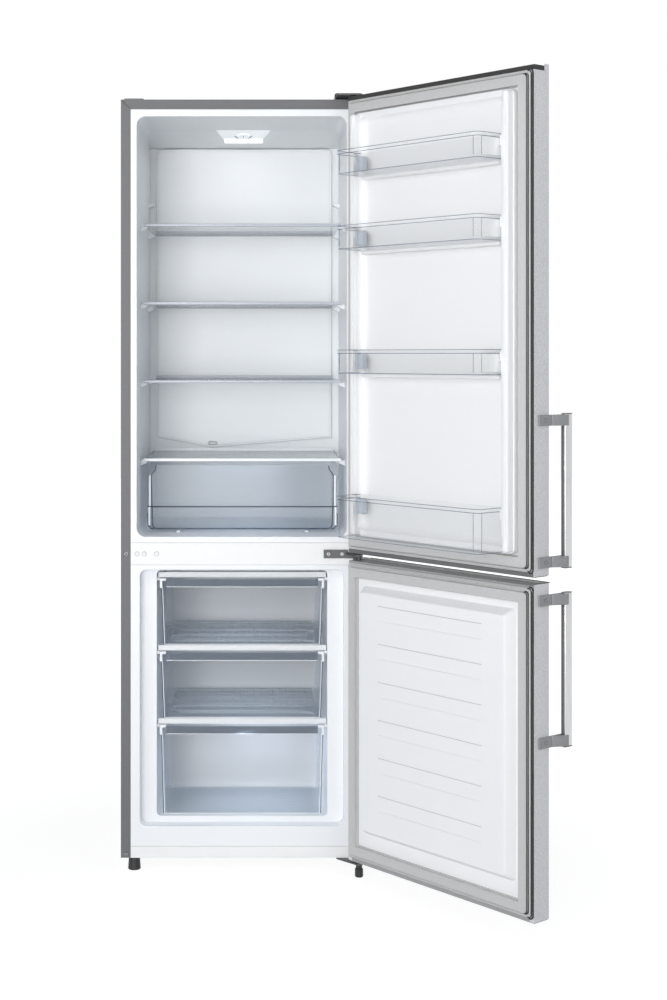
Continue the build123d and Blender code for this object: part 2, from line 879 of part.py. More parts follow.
with BuildPart() as top_blank_cover:
    with BuildSketch(Plane.XY.offset(top_z)):
        with Locations((blank_inset - half + blank_width / 2, blank_setback + blank_width / 2)):
            RectangleRounded(blank_width, blank_width, blank_corner)
    extrude(amount=blank_rise)
    chamfer(top_blank_cover.edges().group_by(Axis.Z)[-1], blank_rise / 2)
save(top_blank_cover, "top_blank_cover")

# Middle hinge: plate on the rail, arm between the doors, pins up and down
with BuildPart() as mid_hinge:
    arm_low = door_split - arm_thick / 2
    with BuildSketch(front_plane(0)):
        rect(mid_plate_left, nose_x, mullion_mid - mid_plate_height / 2, mullion_mid + mid_plate_height / 2)
        with Locations(*[(x, mullion_mid) for x in hinge_screw_places]):
            Circle(screw_radius + clear, mode=Mode.SUBTRACT)
    extrude(amount=hinge_plate)
    with BuildSketch(Plane.XY.offset(arm_low)):
        with BuildLine():
            Polyline(
                (hinge_screw_places[-1] + 2 * screw_head_radius, -hinge_plate),
                (hinge_x - hinge_nose, nose_y),
                (nose_x, nose_y),
                (nose_x, -hinge_plate),
                close=True,
            )
        make_face()
    extrude(amount=arm_thick)
    with BuildSketch(Plane.XY.offset(door_split)):
        with Locations((hinge_x, hinge_y)):
            Circle(pin_radius)
    extrude(amount=fridge_door_low + pin_reach - door_split)
    with BuildSketch(Plane.XY.offset(door_split)):
        with Locations((hinge_x, hinge_y)):
            Circle(pin_radius)
    extrude(amount=-(door_split - freezer_door_high + cap_drop + pin_reach))
save(mid_hinge, "mid_hinge")

# Lower hinge: plate under the cabinet, pin up into the freezer door, socket for the right foot
with BuildPart() as lower_hinge:
    with BuildSketch(Plane.XY.offset(base_z)):
        with BuildLine():
            Polyline(
                (hinge_plate_left, hinge_plate_back),
                (hinge_plate_left, 0),
                (hinge_x - hinge_nose, nose_y),
                (nose_x, nose_y),
                (nose_x, hinge_plate_back),
                close=True,
            )
        make_face()
        with Locations(*low_screw_places):
            Circle(screw_radius + clear, mode=Mode.SUBTRACT)
    extrude(amount=-hinge_plate)
    with BuildSketch(Plane.XY.offset(base_z)):
        with Locations((hinge_x, hinge_y)):
            Circle(hinge_tip)
    extrude(amount=-boss_height)
    with BuildSketch(Plane.XY.offset(base_z)):
        with Locations((hinge_x, hinge_y)):
            Circle(pin_radius)
    extrude(amount=freezer_door_low + pin_reach - base_z)
    with BuildSketch(Plane.XY.offset(base_z - boss_height)):
        with Locations((hinge_x, hinge_y)):
            Circle(stud_radius + running)
    extrude(amount=boss_height - clear, mode=Mode.SUBTRACT)
save(lower_hinge, "lower_hinge")

# Screws of the three hinges and of the left panel's return
with BuildPart() as cabinet_screws:
    for place in screw_planes:
        with BuildSketch(place):
            Circle(screw_head_radius)
        extrude(amount=screw_head, taper=screw_taper)
        with BuildSketch(place):
            Circle(screw_radius)
        extrude(amount=-screw_length)
save(cabinet_screws, "cabinet_screws")

# Left front foot, turned on its stud to level the cabinet
with BuildPart() as foot_left:
    with BuildSketch(front_plane(foot_back)):
        with BuildLine():
            Polyline(
                (foot_x, 0),
                (foot_x + foot_radius - foot_chamfer, 0),
                (foot_x + foot_radius, foot_chamfer),
                (foot_x + foot_radius - foot_taper, base_z - 2 * clear),
                (foot_x + stud_radius, base_z - 2 * clear),
                (foot_x + stud_radius, base_z + boss_height),
                (foot_x, base_z + boss_height),
                close=True,
            )
        make_face()
    revolve(axis=Axis((foot_x, foot_back, 0), (0, 0, 1)))
save(foot_left, "foot_left")

# Right front foot, under the lower hinge pin
with BuildPart() as foot_right:
    foot_top = base_z - boss_height - clear
    with BuildSketch(front_plane(hinge_y)):
        with BuildLine():
            Polyline(
                (hinge_x, 0),
                (hinge_x + hinge_foot_radius - foot_chamfer, 0),
                (hinge_x + hinge_foot_radius, foot_chamfer),
                (hinge_x + hinge_foot_radius, foot_top - foot_neck_low),
                (hinge_x + foot_neck_radius, foot_top - foot_neck_high),
                (hinge_x + foot_neck_radius, foot_top),
                (hinge_x + stud_radius, foot_top),
                (hinge_x + stud_radius, base_z - 4 * clear),
                (hinge_x, base_z - 4 * clear),
                close=True,
            )
        make_face()
    revolve(axis=hinge_line)
save(foot_right, "foot_right")

# Lamp and thermostat box under the ceiling: its underside slants down to the lens, with the dial on it
lamp_top = fridge_ceiling - clear
lamp_slope = lamp_fall / (lamp_back - lamp_front)
knob_place = (0, lamp_front + knob_run, lamp_top - lamp_edge - knob_run * lamp_slope)
dial_plane = Plane(knob_place, x_dir=(1, 0, 0), z_dir=(0, -lamp_slope, -1))
with BuildPart() as lamp_housing:
    with BuildSketch(Plane.XY.offset(lamp_top)):
        with BuildLine():
            Polyline(
                (-lamp_front_width / 2, lamp_front),
                (lamp_front_width / 2, lamp_front),
                (lamp_back_width / 2, lamp_back),
                (-lamp_back_width / 2, lamp_back),
                close=True,
            )
        make_face()
    extrude(amount=-lamp_edge - lamp_fall)
    with BuildSketch(Plane.YZ):
        with BuildLine():
            Polyline(
                (lamp_front, lamp_top - lamp_edge),
                (lamp_back, lamp_top - lamp_edge - lamp_fall),
                (lamp_front, lamp_top - lamp_edge - lamp_fall),
                close=True,
            )
        make_face()
    extrude(amount=lamp_front_width, both=True, mode=Mode.SUBTRACT)
    add(fridge_cavity(-clear), mode=Mode.INTERSECT)
    with BuildSketch(dial_plane):
        Circle(knob_radius + knob_gap)
    extrude(amount=-knob_sink, mode=Mode.SUBTRACT)
    with BuildSketch(dial_plane):
        Circle(knob_shaft + running)
    extrude(amount=-knob_bore, mode=Mode.SUBTRACT)
save(lamp_housing, "lamp_housing")

with BuildPart() as thermostat_knob:
    knob_foot = dial_plane.offset(clear - knob_sink)
    with BuildSketch(knob_foot):
        Circle(knob_radius)
    extrude(amount=knob_height)
    with BuildSketch(knob_foot.offset(knob_height)):
        Rectangle(grip_width, grip_length)
    extrude(amount=grip_height)
    with BuildSketch(knob_foot):
        Circle(knob_shaft)
    extrude(amount=-(knob_bore - knob_sink))
save(thermostat_knob, "thermostat_knob")

with BuildPart() as lamp_lens:
    lens_fall = ceiling_fall * (lens_back - ceiling_run) / (fridge_depth - ceiling_run)
    lens_top = fridge_ceiling - lens_fall - 2 * clear
    with BuildSketch(Plane.XY.offset(lens_top)):
        rounded(-lens_width / 2, lens_width / 2, lamp_back + clear, lens_back, lens_corner)
    extrude(amount=-(lens_deep - lens_fall))
    fillet(lamp_lens.edges().group_by(Axis.Z)[0], lens_round)
    offset(amount=-moulded, openings=lamp_lens.faces().sort_by(Axis.Z)[-1])
save(lamp_lens, "lamp_lens")


def glass_shelf(name, top, front):
    """Glass pane with a trim along its front edge and one with an upstand along its back edge."""
    side = shelf_width / 2
    low = top - glass
    with BuildPart() as pane:
        with BuildSketch(Plane.XY.offset(low)):
            edges = (front + trim_wall + clear, shelf_back - trim_wall - clear)
            rect(-side + trim_wall, side - trim_wall, *edges)
        extrude(amount=glass)
    save(pane, f"{name}_glass")
    fit = 2 * running
    rear_side = fridge_width / 2 - rest_width - rest_gap
    with BuildPart() as trims:
        with BuildSketch(Plane.YZ) as nose:
            rect(front, front + trim_deep, low - trim_lip, top + trim_lip)
            fillet(nose.vertices().group_by(Axis.X)[0], trim_lip)
            rect(front + trim_wall, front + trim_deep, low - fit, top + fit, Mode.SUBTRACT)
        extrude(amount=side, both=True)
        with BuildSketch(Plane.YZ):
            rect(shelf_back - trim_deep, shelf_back, low - trim_lip, top + trim_lip)
            rect(shelf_back - trim_wall, shelf_back, top, top + trim_upstand)
            rect(shelf_back - trim_deep, shelf_back - trim_wall, low - fit, top + fit, Mode.SUBTRACT)
        extrude(amount=rear_side, both=True)
    save(trims, f"{name}_trim")


glass_shelf("crisper_cover", cover_top, cover_front)
for number, top in enumerate(shelf_tops):
    glass_shelf(f"shelf_{shelf_count - number}", top, shelf_front)

# Crisper: clear drawer whose front steps back above a band, with its front top corners notched
with BuildPart() as crisper_drawer:
    low = fridge_floor + runner_height + clear
    side = crisper_width / 2
    with BuildSketch(Plane.XY.offset(low)):
        rounded(-side, side, crisper_front, crisper_back, crisper_corner)
    extrude(amount=crisper_height)
    with BuildSketch(Plane.XY.offset(low + crisper_band)):
        rect(-side, side, crisper_front, crisper_front + crisper_setback)
    extrude(amount=crisper_height, mode=Mode.SUBTRACT)
    fillet(crisper_drawer.edges().group_by(Axis.Z)[0], crisper_round)
    offset(amount=-moulded, openings=crisper_drawer.faces().sort_by(Axis.Z)[-1])
    high = low + crisper_height
    notch_low = high - crisper_notch_height
    with BuildSketch(front_plane(crisper_front)):
        for place in (-1, 1):
            with BuildLine():
                Polyline(
                    (place * side, notch_low),
                    (place * (side - crisper_notch_step), notch_low),
                    (place * (side - crisper_notch_width), notch_low + crisper_notch_slope),
                    (place * (side - crisper_notch_width), high),
                    (place * side, high),
                    close=True,
                )
            make_face()
    extrude(amount=-(crisper_setback + crisper_notch_depth), mode=Mode.SUBTRACT)
save(crisper_drawer, "crisper_drawer")


def freezer_drawer(name, low, high, back):
    """Clear drawer with drawn-in sides, a rim along its top and a pull band across its front."""
    mid = (drawer_front + back) / 2
    deep = back - drawer_front
    with BuildPart() as drawer:
        with BuildSketch(Plane.XY.offset(low)):
            with Locations((0, mid)):
                RectangleRounded(drawer_bottom_width, deep - drawer_draw_in, drawer_corner)
        with BuildSketch(Plane.XY.offset(high)):
            with Locations((0, mid)):
                RectangleRounded(drawer_top_width, deep, drawer_corner)
        loft()
        offset(amount=-moulded, openings=drawer.faces().sort_by(Axis.Z)[-1])
        with BuildSketch(Plane.XY.offset(high)):
            with Locations((0, mid)):
                RectangleRounded(drawer_top_width + 2 * drawer_rim, deep, drawer_corner)
                room = (drawer_top_width - 2 * moulded, deep - 2 * moulded)
                RectangleRounded(*room, drawer_corner, mode=Mode.SUBTRACT)
        extrude(amount=-moulded)
        with BuildSketch(Plane.YZ):
            rect(drawer_front - drawer_lip, drawer_front + moulded, high - moulded, high)
            rect(drawer_front - drawer_lip, drawer_front - drawer_lip + moulded, high - drawer_band, high)
        extrude(amount=drawer_top_width / 2 - drawer_corner, both=True)
    save(drawer, name)


drawer_lows = [grid_tops[1] + clear, grid_tops[2] + clear, cavity_floor + clear]
for number, (low, ceiling) in enumerate(zip(drawer_lows, grid_tops), start=1):
    back = low_drawer_back if number == grid_count else drawer_back
    freezer_drawer(f"freezer_drawer_{number}", low, ceiling - drawer_gap, back)

# Evaporator: three grids of wires between rails, each over a tube laid to and fro
with BuildPart() as freezer_evaporator:
    rail_half = cavity_width / 2 - moulded
    wire_step = 2 * (rail_half - grid_wire_margin) / (grid_wires - 1)
    tube_half = rail_half - grid_tube_margin
    tube_step = (grid_back - grid_front - 2 * grid_tube_inset) / (grid_tube_passes - 1)
    for top in grid_tops:
        for start in (grid_front, grid_back - grid_rail_deep):
            with BuildSketch(front_plane(start)):
                rect(-rail_half, rail_half, top - grid_rail, top)
            extrude(amount=-grid_rail_deep)
        wire_z = top - grid_wire_radius - clear
        with BuildSketch(front_plane(grid_front + grid_rail_deep / 2)):
            with Locations((0, wire_z)):
                with GridLocations(wire_step, 1, grid_wires, 1):
                    Circle(grid_wire_radius)
        extrude(amount=-(grid_back - grid_front - grid_rail_deep))
    for top in grid_tops:
        tube_z = top - 2 * grid_wire_radius - clear - grid_tube_radius - running
        turns = []
        for turn in range(grid_tube_passes):
            y = grid_front + grid_tube_inset + turn * tube_step
            ends = (-tube_half, tube_half) if turn % 2 == 0 else (tube_half, -tube_half)
            turns += [(ends[0], y, tube_z), (ends[1], y, tube_z)]
        with BuildLine() as tube_path:
            FilletPolyline(*turns, radius=tube_step / 2 - bend_slack)
        with BuildSketch(Plane(origin=tube_path.line @ 0, z_dir=tube_path.line % 0)):
            Circle(grid_tube_radius)
        sweep(path=tube_path.line)
save(freezer_evaporator, "freezer_evaporator")

# Compressor: drawn steel can with a seam, a mounting plate and a terminal box with its gland
with BuildPart() as compressor:
    can_axis = Axis((compressor_x, compressor_y, 0), (0, 0, 1))
    with BuildSketch(front_plane(compressor_y)) as can:
        rect(compressor_x, compressor_x + compressor_radius, compressor_z, compressor_top)
        outer = can.vertices().group_by(Axis.X)[-1].sort_by(Axis.Y)
        fillet(outer[-1], compressor_top_round)
        fillet(can.vertices().group_by(Axis.X)[-1].sort_by(Axis.Y)[0], compressor_low_round)
        seam_z = compressor_z + seam_rise
        rect(compressor_x, compressor_x + compressor_radius + seam_width, seam_z, seam_z + seam_height)
    revolve(axis=can_axis)
    with BuildSketch(Plane.XY.offset(mount_z)):
        with Locations((compressor_x, compressor_y)):
            RectangleRounded(mount_width, mount_deep, mount_corner)
            with GridLocations(grommet_gauge_x, grommet_gauge_y, 2, 2):
                Circle(grommet_neck + clear, mode=Mode.SUBTRACT)
    extrude(amount=mount_sheet)
    with BuildSketch(Plane.YZ.offset(compressor_x)):
        box_sides = (compressor_y - terminal_half, compressor_y + terminal_half)
        rounded(*box_sides, seam_z + terminal_low, seam_z + terminal_high, terminal_corner)
    extrude(amount=-(compressor_radius + terminal_reach))
    with BuildSketch(Plane.YZ.offset(compressor_x - compressor_radius)):
        with Locations((compressor_y + gland_side, seam_z + gland_rise)):
            Circle(gland_radius)
    extrude(amount=-gland_reach)
save(compressor, "compressor")

with BuildPart() as compressor_grommets:
    with BuildSketch(Plane.XY.offset(tray_top)):
        with Locations((compressor_x, compressor_y)):
            with GridLocations(grommet_gauge_x, grommet_gauge_y, 2, 2):
                Circle(grommet_radius)
    extrude(amount=grommet_height)
    with BuildSketch(Plane.XY.offset(tray_top)):
        with Locations((compressor_x, compressor_y)):
            with GridLocations(grommet_gauge_x, grommet_gauge_y, 2, 2):
                Circle(grommet_neck)
    extrude(amount=grommet_height + 3 * mount_sheet)
save(compressor_grommets, "compressor_grommets")

# Drip tray on top of the compressor
with BuildPart() as drip_tray:
    with BuildSketch(Plane.XY.offset(compressor_top + clear)):
        with Locations((compressor_x, compressor_y)):
            RectangleRounded(drip_width, drip_deep, drip_corner)
    extrude(amount=drip_height)
    fillet(drip_tray.edges().group_by(Axis.Z)[0], drip_round)
    offset(amount=-drip_wall, openings=drip_tray.faces().sort_by(Axis.Z)[-1])
save(drip_tray, "drip_tray")

# Condenser: one tube laid to and fro on the back, with upright wires across it
with BuildPart() as condenser:
    ends = (condenser_width / 2, -condenser_width / 2)
    bends = []
    for turn in range(condenser_passes):
        z = condenser_low + condenser_pitch * turn
        bends += [(ends[turn % 2], condenser_y, z), (ends[1 - turn % 2], condenser_y, z)]
    with BuildLine() as condenser_path:
        FilletPolyline(*bends, radius=condenser_pitch / 2 - bend_slack)
    with BuildSketch(Plane(origin=condenser_path.line @ 0, z_dir=condenser_path.line % 0)):
        Circle(condenser_tube)
    sweep(path=condenser_path.line)
    wire_y = condenser_y + condenser_tube + condenser_wire + running
    wire_length = condenser_pitch * (condenser_passes - 1) + 2 * condenser_overhang
    wire_gap = (condenser_width - 2 * condenser_pitch) / (condenser_wires - 1)
    with BuildSketch(Plane.XY.offset(condenser_low - condenser_overhang)):
        with Locations((0, wire_y)):
            with GridLocations(wire_gap, 1, condenser_wires, 1):
                Circle(condenser_wire)
    extrude(amount=wire_length)
save(condenser, "condenser")


def door_shell(name, low, high, lift, handle_low):
    """Steel skin, end caps, seal and handle of one door; lift raises its inner face over the cap."""
    inner_half = door_half - steel - clear
    core_outer = door_outer + steel + clear
    seat_low = low + cap_height + clear
    seat_high = high - notch_height - clear + lift
    cap_inner = door_inner - formed - clear if lift else door_inner
    with BuildPart() as skin:
        with BuildSketch(Plane.XY.offset(low + skin_lift)) as pan:
            rect(-door_half, door_half, door_outer, door_inner)
            fillet(pan.vertices().group_by(Axis.Y)[0], door_edge_round)
            offset(amount=-steel, mode=Mode.SUBTRACT)
            open_half = door_half - door_return
            rect(-open_half, open_half, door_inner - steel, door_inner, Mode.SUBTRACT)
        extrude(amount=high - low - skin_lift)
        with BuildSketch(Plane.XY.offset(high)):
            rect(-half, half, door_inner - notch_depth, door_inner)
        extrude(amount=-notch_height, mode=Mode.SUBTRACT)
    save(skin, f"{name}_skin", photo_swing)

    with BuildPart() as caps:
        cap_low = high - notch_height + clear
        cap_high = high - cap_drop
        with BuildSketch(Plane.XY.offset(cap_low)):
            rect(-inner_half, inner_half, core_outer + door_edge_round, cap_inner)
            rect(-door_half, door_half, door_inner - notch_depth + clear, cap_inner)
        extrude(amount=cap_high - cap_low)
        with BuildSketch(Plane.XY.offset(low)):
            rect(-inner_half, inner_half, core_outer + door_edge_round, door_inner - steel - clear)
        extrude(amount=cap_height)
        pocket = (cap_wall - inner_half, inner_half - cap_wall)
        pocket_sides = (core_outer + door_edge_round + cap_wall, door_inner - steel - clear - cap_wall)
        hollows = ((cap_low, cap_high - cap_low - cap_wall), (low + cap_wall, cap_height - cap_wall))
        for level, room in hollows:
            with BuildSketch(Plane.XY.offset(level)):
                rect(*pocket, *pocket_sides)
                with Locations((hinge_x, hinge_y)):
                    Circle(2 * pin_radius, mode=Mode.SUBTRACT)
            extrude(amount=room, mode=Mode.SUBTRACT)
        for level, room in ((cap_low, cap_high - cap_low), (low, cap_height)):
            with BuildSketch(Plane.XY.offset(level)):
                with Locations((hinge_x, hinge_y)):
                    Circle(pin_radius + running)
            extrude(amount=room, mode=Mode.SUBTRACT)
    save(caps, f"{name}_caps", photo_swing)

    with BuildPart() as seal:
        seal_half = door_half - seal_edge
        face_low = door_inner + clear
        with BuildSketch(front_plane(face_low)):
            rounded(-seal_half, seal_half, seat_low, seat_high, seal_corner)
            inset = seal_half - seal_width
            room = (-inset, inset, seat_low + seal_width, seat_high - seal_width)
            rounded(*room, seal_inner_corner, Mode.SUBTRACT)
        extrude(amount=-seal_base)
        bulb = seal_half - bulb_inset
        with BuildSketch(front_plane(face_low + seal_base)):
            rounded(-bulb, bulb, seat_low + bulb_inset, seat_high - bulb_inset, bulb_corner)
            inset = bulb - bulb_width
            edge = bulb_inset + bulb_width
            rounded(-inset, inset, seat_low + edge, seat_high - edge, seal_inner_corner, Mode.SUBTRACT)
        extrude(amount=face_low + seal_base + clear)
    save(seal, f"{name}_seal", photo_swing)

    bar_back = door_outer - bar_standoff
    bar_x = -door_half - bar_width / 2
    with BuildPart() as bar:
        with BuildSketch(Plane.XY.offset(handle_low)):
            with Locations((bar_x, bar_back - bar_deep / 2)):
                RectangleRounded(bar_width, bar_deep, bar_round)
        extrude(amount=handle_length)
        fillet(bar.faces().filter_by(Axis.Z).edges(), bar_end_round)
    save(bar, f"{name}_handle_bar", photo_swing)

    with BuildPart() as brackets:
        arm_face = -door_half - bracket_thick
        arm_end = door_outer + bracket_reach
        for start in (bracket_inset, handle_length - bracket_inset - bracket_height):
            with BuildSketch(Plane.XY.offset(handle_low + start)):
                rect(arm_face, -door_half, bar_back, arm_end)
                rect(-door_half - bar_width, -door_half, bar_back, bar_back + bracket_thick)
            extrude(amount=bracket_height)
            arm_low = handle_low + start
            with BuildSketch(Plane.YZ.offset(arm_face)):
                for setback in (bracket_groove_near, bracket_groove_far):
                    line_y = arm_end - setback
                    rect(line_y - bracket_groove, line_y, arm_low, arm_low + bracket_height)
            extrude(amount=bracket_groove / 2, mode=Mode.SUBTRACT)
            with BuildSketch(Plane.YZ.offset(arm_face)):
                with Locations((arm_end - 4 * cap_disc_radius, arm_low + bracket_height / 2)):
                    Circle(cap_disc_radius)
            extrude(amount=-cap_disc_rise)
    save(brackets, f"{name}_handle_brackets", photo_swing)


def door_core(name, low, high, fill):
    """Foam of one door: the slab inside the skin and what fills the formed liner."""
    with BuildPart() as core:
        with BuildSketch(Plane.XY.offset(low + cap_height + clear)):
            side = door_half - steel - clear
            outer = door_outer + steel + clear
            rect(-side, side, outer + door_edge_round, door_inner - formed - clear)
            rect(-side + door_edge_round, side - door_edge_round, outer, outer + door_edge_round)
        extrude(amount=high - notch_height - low - cap_height - 2 * clear)
        add(fill)
    save(core, f"{name}_foam", photo_swing)


def liner_flange(low, high, lift):
    """Flat sheet of a door liner that its seal lies on."""
    side = door_half - door_return - clear
    with BuildPart() as sheet:
        with BuildSketch(front_plane(door_inner)):
            rect(-side, side, low + cap_height + clear, high - notch_height - clear + lift)
        extrude(amount=formed)
    return sheet.part


def fridge_form(shrink):
    """Inside form of the fridge door: plateau, soft pocket and two dykes, drawn in by shrink."""
    base = door_inner - formed - clear
    low = fridge_door_low + cap_height + clear + plateau_margin
    high = fridge_door_high - notch_height - clear - plateau_margin
    side = plateau_half - shrink
    room = dyke_inner + shrink
    with BuildPart() as pocket:
        with BuildSketch(front_plane(dyke_rise)):
            ends = (low + pocket_margin - shrink, high - pocket_margin + shrink)
            rounded(-room, room, *ends, pocket_corner + shrink)
        extrude(amount=dyke_rise + pocket_floor + shrink)
        fillet(pocket.faces().sort_by(Axis.Y)[0].edges(), pocket_round + shrink)
    with BuildPart() as form:
        with BuildSketch(front_plane(base)):
            rounded(-side, side, low + shrink, high - shrink, plateau_corner - shrink)
        extrude(amount=base - plateau_rise + shrink)
        for mark in (-1, 1):
            inner = mark * (dyke_inner - pocket_round)
            foot = mark * (plateau_half - dyke_foot_inset - shrink)
            tip = mark * (plateau_half - dyke_foot_inset - dyke_slope - shrink)
            foot_margin = pocket_margin + shrink
            tip_margin = foot_margin + dyke_end_slope
            with BuildSketch(front_plane(0)):
                rounded(*sorted((inner, foot)), low + foot_margin, high - foot_margin, dyke_corner)
            with BuildSketch(front_plane(dyke_rise - shrink)):
                rounded(*sorted((inner, tip)), low + tip_margin, high - tip_margin, dyke_corner)
            loft()
        add(pocket.part, mode=Mode.SUBTRACT)
    return form.part


def freezer_form(shrink):
    """Inside form of the freezer door: a raised pad with sloping sides, drawn in by shrink."""
    base = door_inner - formed - clear
    side = freezer_pad_half - shrink
    ends = (freezer_pad_low + shrink, freezer_pad_high - shrink)
    with BuildPart() as form:
        with BuildSketch(front_plane(base)):
            rounded(-side, side, *ends, freezer_pad_corner - shrink)
        with BuildSketch(front_plane(pad_face - shrink)):
            top_side = side - freezer_pad_slope
            top_ends = (ends[0] + freezer_pad_slope, ends[1] - freezer_pad_slope)
            rounded(-top_side, top_side, *top_ends, freezer_pad_top_corner - shrink)
        loft()
        fillet(form.faces().sort_by(Axis.Y)[-1].edges(), freezer_pad_round - shrink / 2)
    return form.part


# Fridge door liner with ledges and lugs for the bins
bins = [(f"door_bin_{number}", low, bin_height) for number, low in enumerate(bin_lows, start=1)]
bins.append(("bottle_bin", bottle_bin_low, bottle_bin_height))
with BuildPart() as fridge_door_liner:
    add(liner_flange(fridge_door_low, fridge_door_high, 0))
    add(fridge_form(0))
    add(fridge_form(formed), mode=Mode.SUBTRACT)
    for name, low, height in bins:
        lug_top = low + height - bin_rim_height - clear
        with BuildSketch(front_plane(bin_back)):
            for side in (-1, 1):
                lug = sorted((side * dyke_inner, side * (bin_half + lug_gap)))
                rect(*lug, lug_top - lug_drop, lug_top)
        extrude(amount=-lug_deep)
    for low in bin_lows:
        with BuildPart() as ledge:
            with BuildSketch(front_plane(-pocket_floor - formed / 2)):
                ledge_half = bin_half - bin_ledge_inset
                rounded(-ledge_half, ledge_half, low - bin_ledge_deep - clear, low - clear, bin_ledge_corner)
            extrude(amount=-(formed / 2 + pocket_floor + bin_back + bin_ledge_deep))
            fillet(ledge.faces().sort_by(Axis.Y)[-1].edges(), bin_ledge_round)
        add(ledge.part)
save(fridge_door_liner, "fridge_door_liner", photo_swing)

# Freezer door liner with shallow sunk bands across its pad, each running out at both ends
with BuildPart() as freezer_door_liner:
    add(liner_flange(freezer_door_low, freezer_door_high, freezer_flange_lift))
    add(freezer_form(0))
    add(freezer_form(formed), mode=Mode.SUBTRACT)
    for number in range(groove_count):
        band_low = freezer_pad_low + groove_first_rise + number * groove_pitch
        with BuildSketch(Plane.XY.offset(band_low)):
            with BuildLine():
                Polyline(
                    (-groove_half, pad_face),
                    (groove_taper - groove_half, pad_face - groove_sink),
                    (groove_half - groove_taper, pad_face - groove_sink),
                    (groove_half, pad_face),
                    (groove_half, pad_face + groove_sink),
                    (-groove_half, pad_face + groove_sink),
                    close=True,
                )
            make_face()
        extrude(amount=groove_height, mode=Mode.SUBTRACT)
save(freezer_door_liner, "freezer_door_liner", photo_swing)

door_shell("fridge_door", fridge_door_low, fridge_door_high, 0, fridge_handle_low)
door_shell("freezer_door", freezer_door_low, freezer_door_high, freezer_flange_lift, freezer_handle_low)
door_core("fridge_door", fridge_door_low, fridge_door_high, fridge_form(formed + 2 * clear))
door_core("freezer_door", freezer_door_low, freezer_door_high, freezer_form(formed + clear))


def bin_plan(grow):
    """Outline of a door bin seen from above, grown outward by grow."""
    with BuildSketch() as plan:
        rect(-bin_half - grow, bin_half + grow, bin_back - grow, bin_deep + grow)
        fillet(plan.vertices().group_by(Axis.Y)[-1], bin_corner + grow)
        fillet(plan.vertices().group_by(Axis.Y)[0], bin_rear_corner + grow)
    return plan.sketch


def door_bin(name, low, height):
    """Clear bin with a proud band round its top, hung by its end rims on the lugs of the door liner."""
    with BuildPart() as tray:
        with BuildSketch(Plane.XY.offset(low)):
            add(bin_plan(0))
        extrude(amount=height)
        fillet(tray.edges().group_by(Axis.Z)[0], bin_rear_corner)
        offset(amount=-moulded, openings=tray.faces().sort_by(Axis.Z)[-1])
        with BuildSketch(Plane.XY.offset(low + height)):
            add(bin_plan(bin_band_proud))
            add(bin_plan(-moulded), mode=Mode.SUBTRACT)
        extrude(amount=-bin_band)
        with BuildSketch(Plane.XY.offset(low + height)):
            rect(-bin_half - bin_rim, bin_half + bin_rim, bin_back + bin_rear_corner, bin_back + lug_deep)
            rect(-bin_half + moulded, bin_half - moulded, bin_back, bin_deep, Mode.SUBTRACT)
        extrude(amount=-bin_rim_height)
    save(tray, name, photo_swing)


for bin_name, bin_low, height in bins:
    door_bin(bin_name, bin_low, height)
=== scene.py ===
"""Finishes, fine pieces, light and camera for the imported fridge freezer."""

import math

import bpy
from mathutils import Matrix, Vector


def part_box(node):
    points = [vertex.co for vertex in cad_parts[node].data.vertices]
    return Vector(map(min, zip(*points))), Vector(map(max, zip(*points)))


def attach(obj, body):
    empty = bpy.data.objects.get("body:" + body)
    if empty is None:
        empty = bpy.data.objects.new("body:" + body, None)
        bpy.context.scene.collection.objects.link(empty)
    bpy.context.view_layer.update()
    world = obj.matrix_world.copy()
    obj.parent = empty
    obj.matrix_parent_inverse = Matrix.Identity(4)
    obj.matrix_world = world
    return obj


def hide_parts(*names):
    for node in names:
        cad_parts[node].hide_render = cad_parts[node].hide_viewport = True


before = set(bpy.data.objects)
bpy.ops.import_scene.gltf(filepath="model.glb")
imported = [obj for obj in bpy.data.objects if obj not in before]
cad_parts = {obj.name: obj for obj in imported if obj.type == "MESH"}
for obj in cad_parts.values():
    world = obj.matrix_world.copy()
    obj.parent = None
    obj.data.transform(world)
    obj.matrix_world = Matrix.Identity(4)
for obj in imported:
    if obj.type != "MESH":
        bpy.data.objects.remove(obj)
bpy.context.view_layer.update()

bl_info = {
    "name": "Fridge Freezer",
    "version": (1, 0, 0),
    "blender": (4, 5, 0),
    "location": "View3D > Sidebar > Fridge",
    "description": "Finishes and fine pieces of a free-standing fridge freezer with open doors",
    "category": "Object",
}

# Places and sizes of the pieces are in millimetres, on the doors as they are when shut. The helpers make them metres.
MM = 0.001
DOORS = ("fridge_door", "freezer_door")
# In the frame both doors stand open, swung about the line of their pins
SWING = math.radians(129.5)
PIN = Vector((264.5, -35.0, 0.0)) * MM
OPENED = Matrix.Translation(PIN) @ Matrix.Rotation(SWING, 4, "Z") @ Matrix.Translation(-PIN)
SHUT = OPENED.inverted()

# Seal: inset, rise from the door and share of the fold's radius, of its fold and of each groove, the grooves drawn as
# dark lines of painted shade; corners and ends
FOLD_INSET, FOLD_RISE, FOLD_SHARE = 4.2, 4.1, 1.18
SEAL_CORNER, SEAL_RETURN = 8.0, 10.0
SEAL_GROOVES = ((8.8, 8.2, 0.6), (7.5, 3.7, 0.8), (0.8, 3.1, 0.8), (-1.9, 1.3, 0.85))

# Bins: half length, back and front of their walls, radius of their front corners
BINS = ("door_bin_1", "door_bin_2", "door_bin_3", "bottle_bin")
BIN_SIDE, BIN_BACK, BIN_FRONT, BIN_CORNER = 211.0, 8.0, 84.0, 11.0

# Handles: both sides of the bar's section; the brackets' distance from its ends; half height and lean of a clamp
BAR_X, BAR_Y = (-291.8, -280.8), (-108.0, -86.5)
BRACKET_INSET, CLAMP_HALF, CLAMP_LEAN = 14.0, 11.0, 12.0

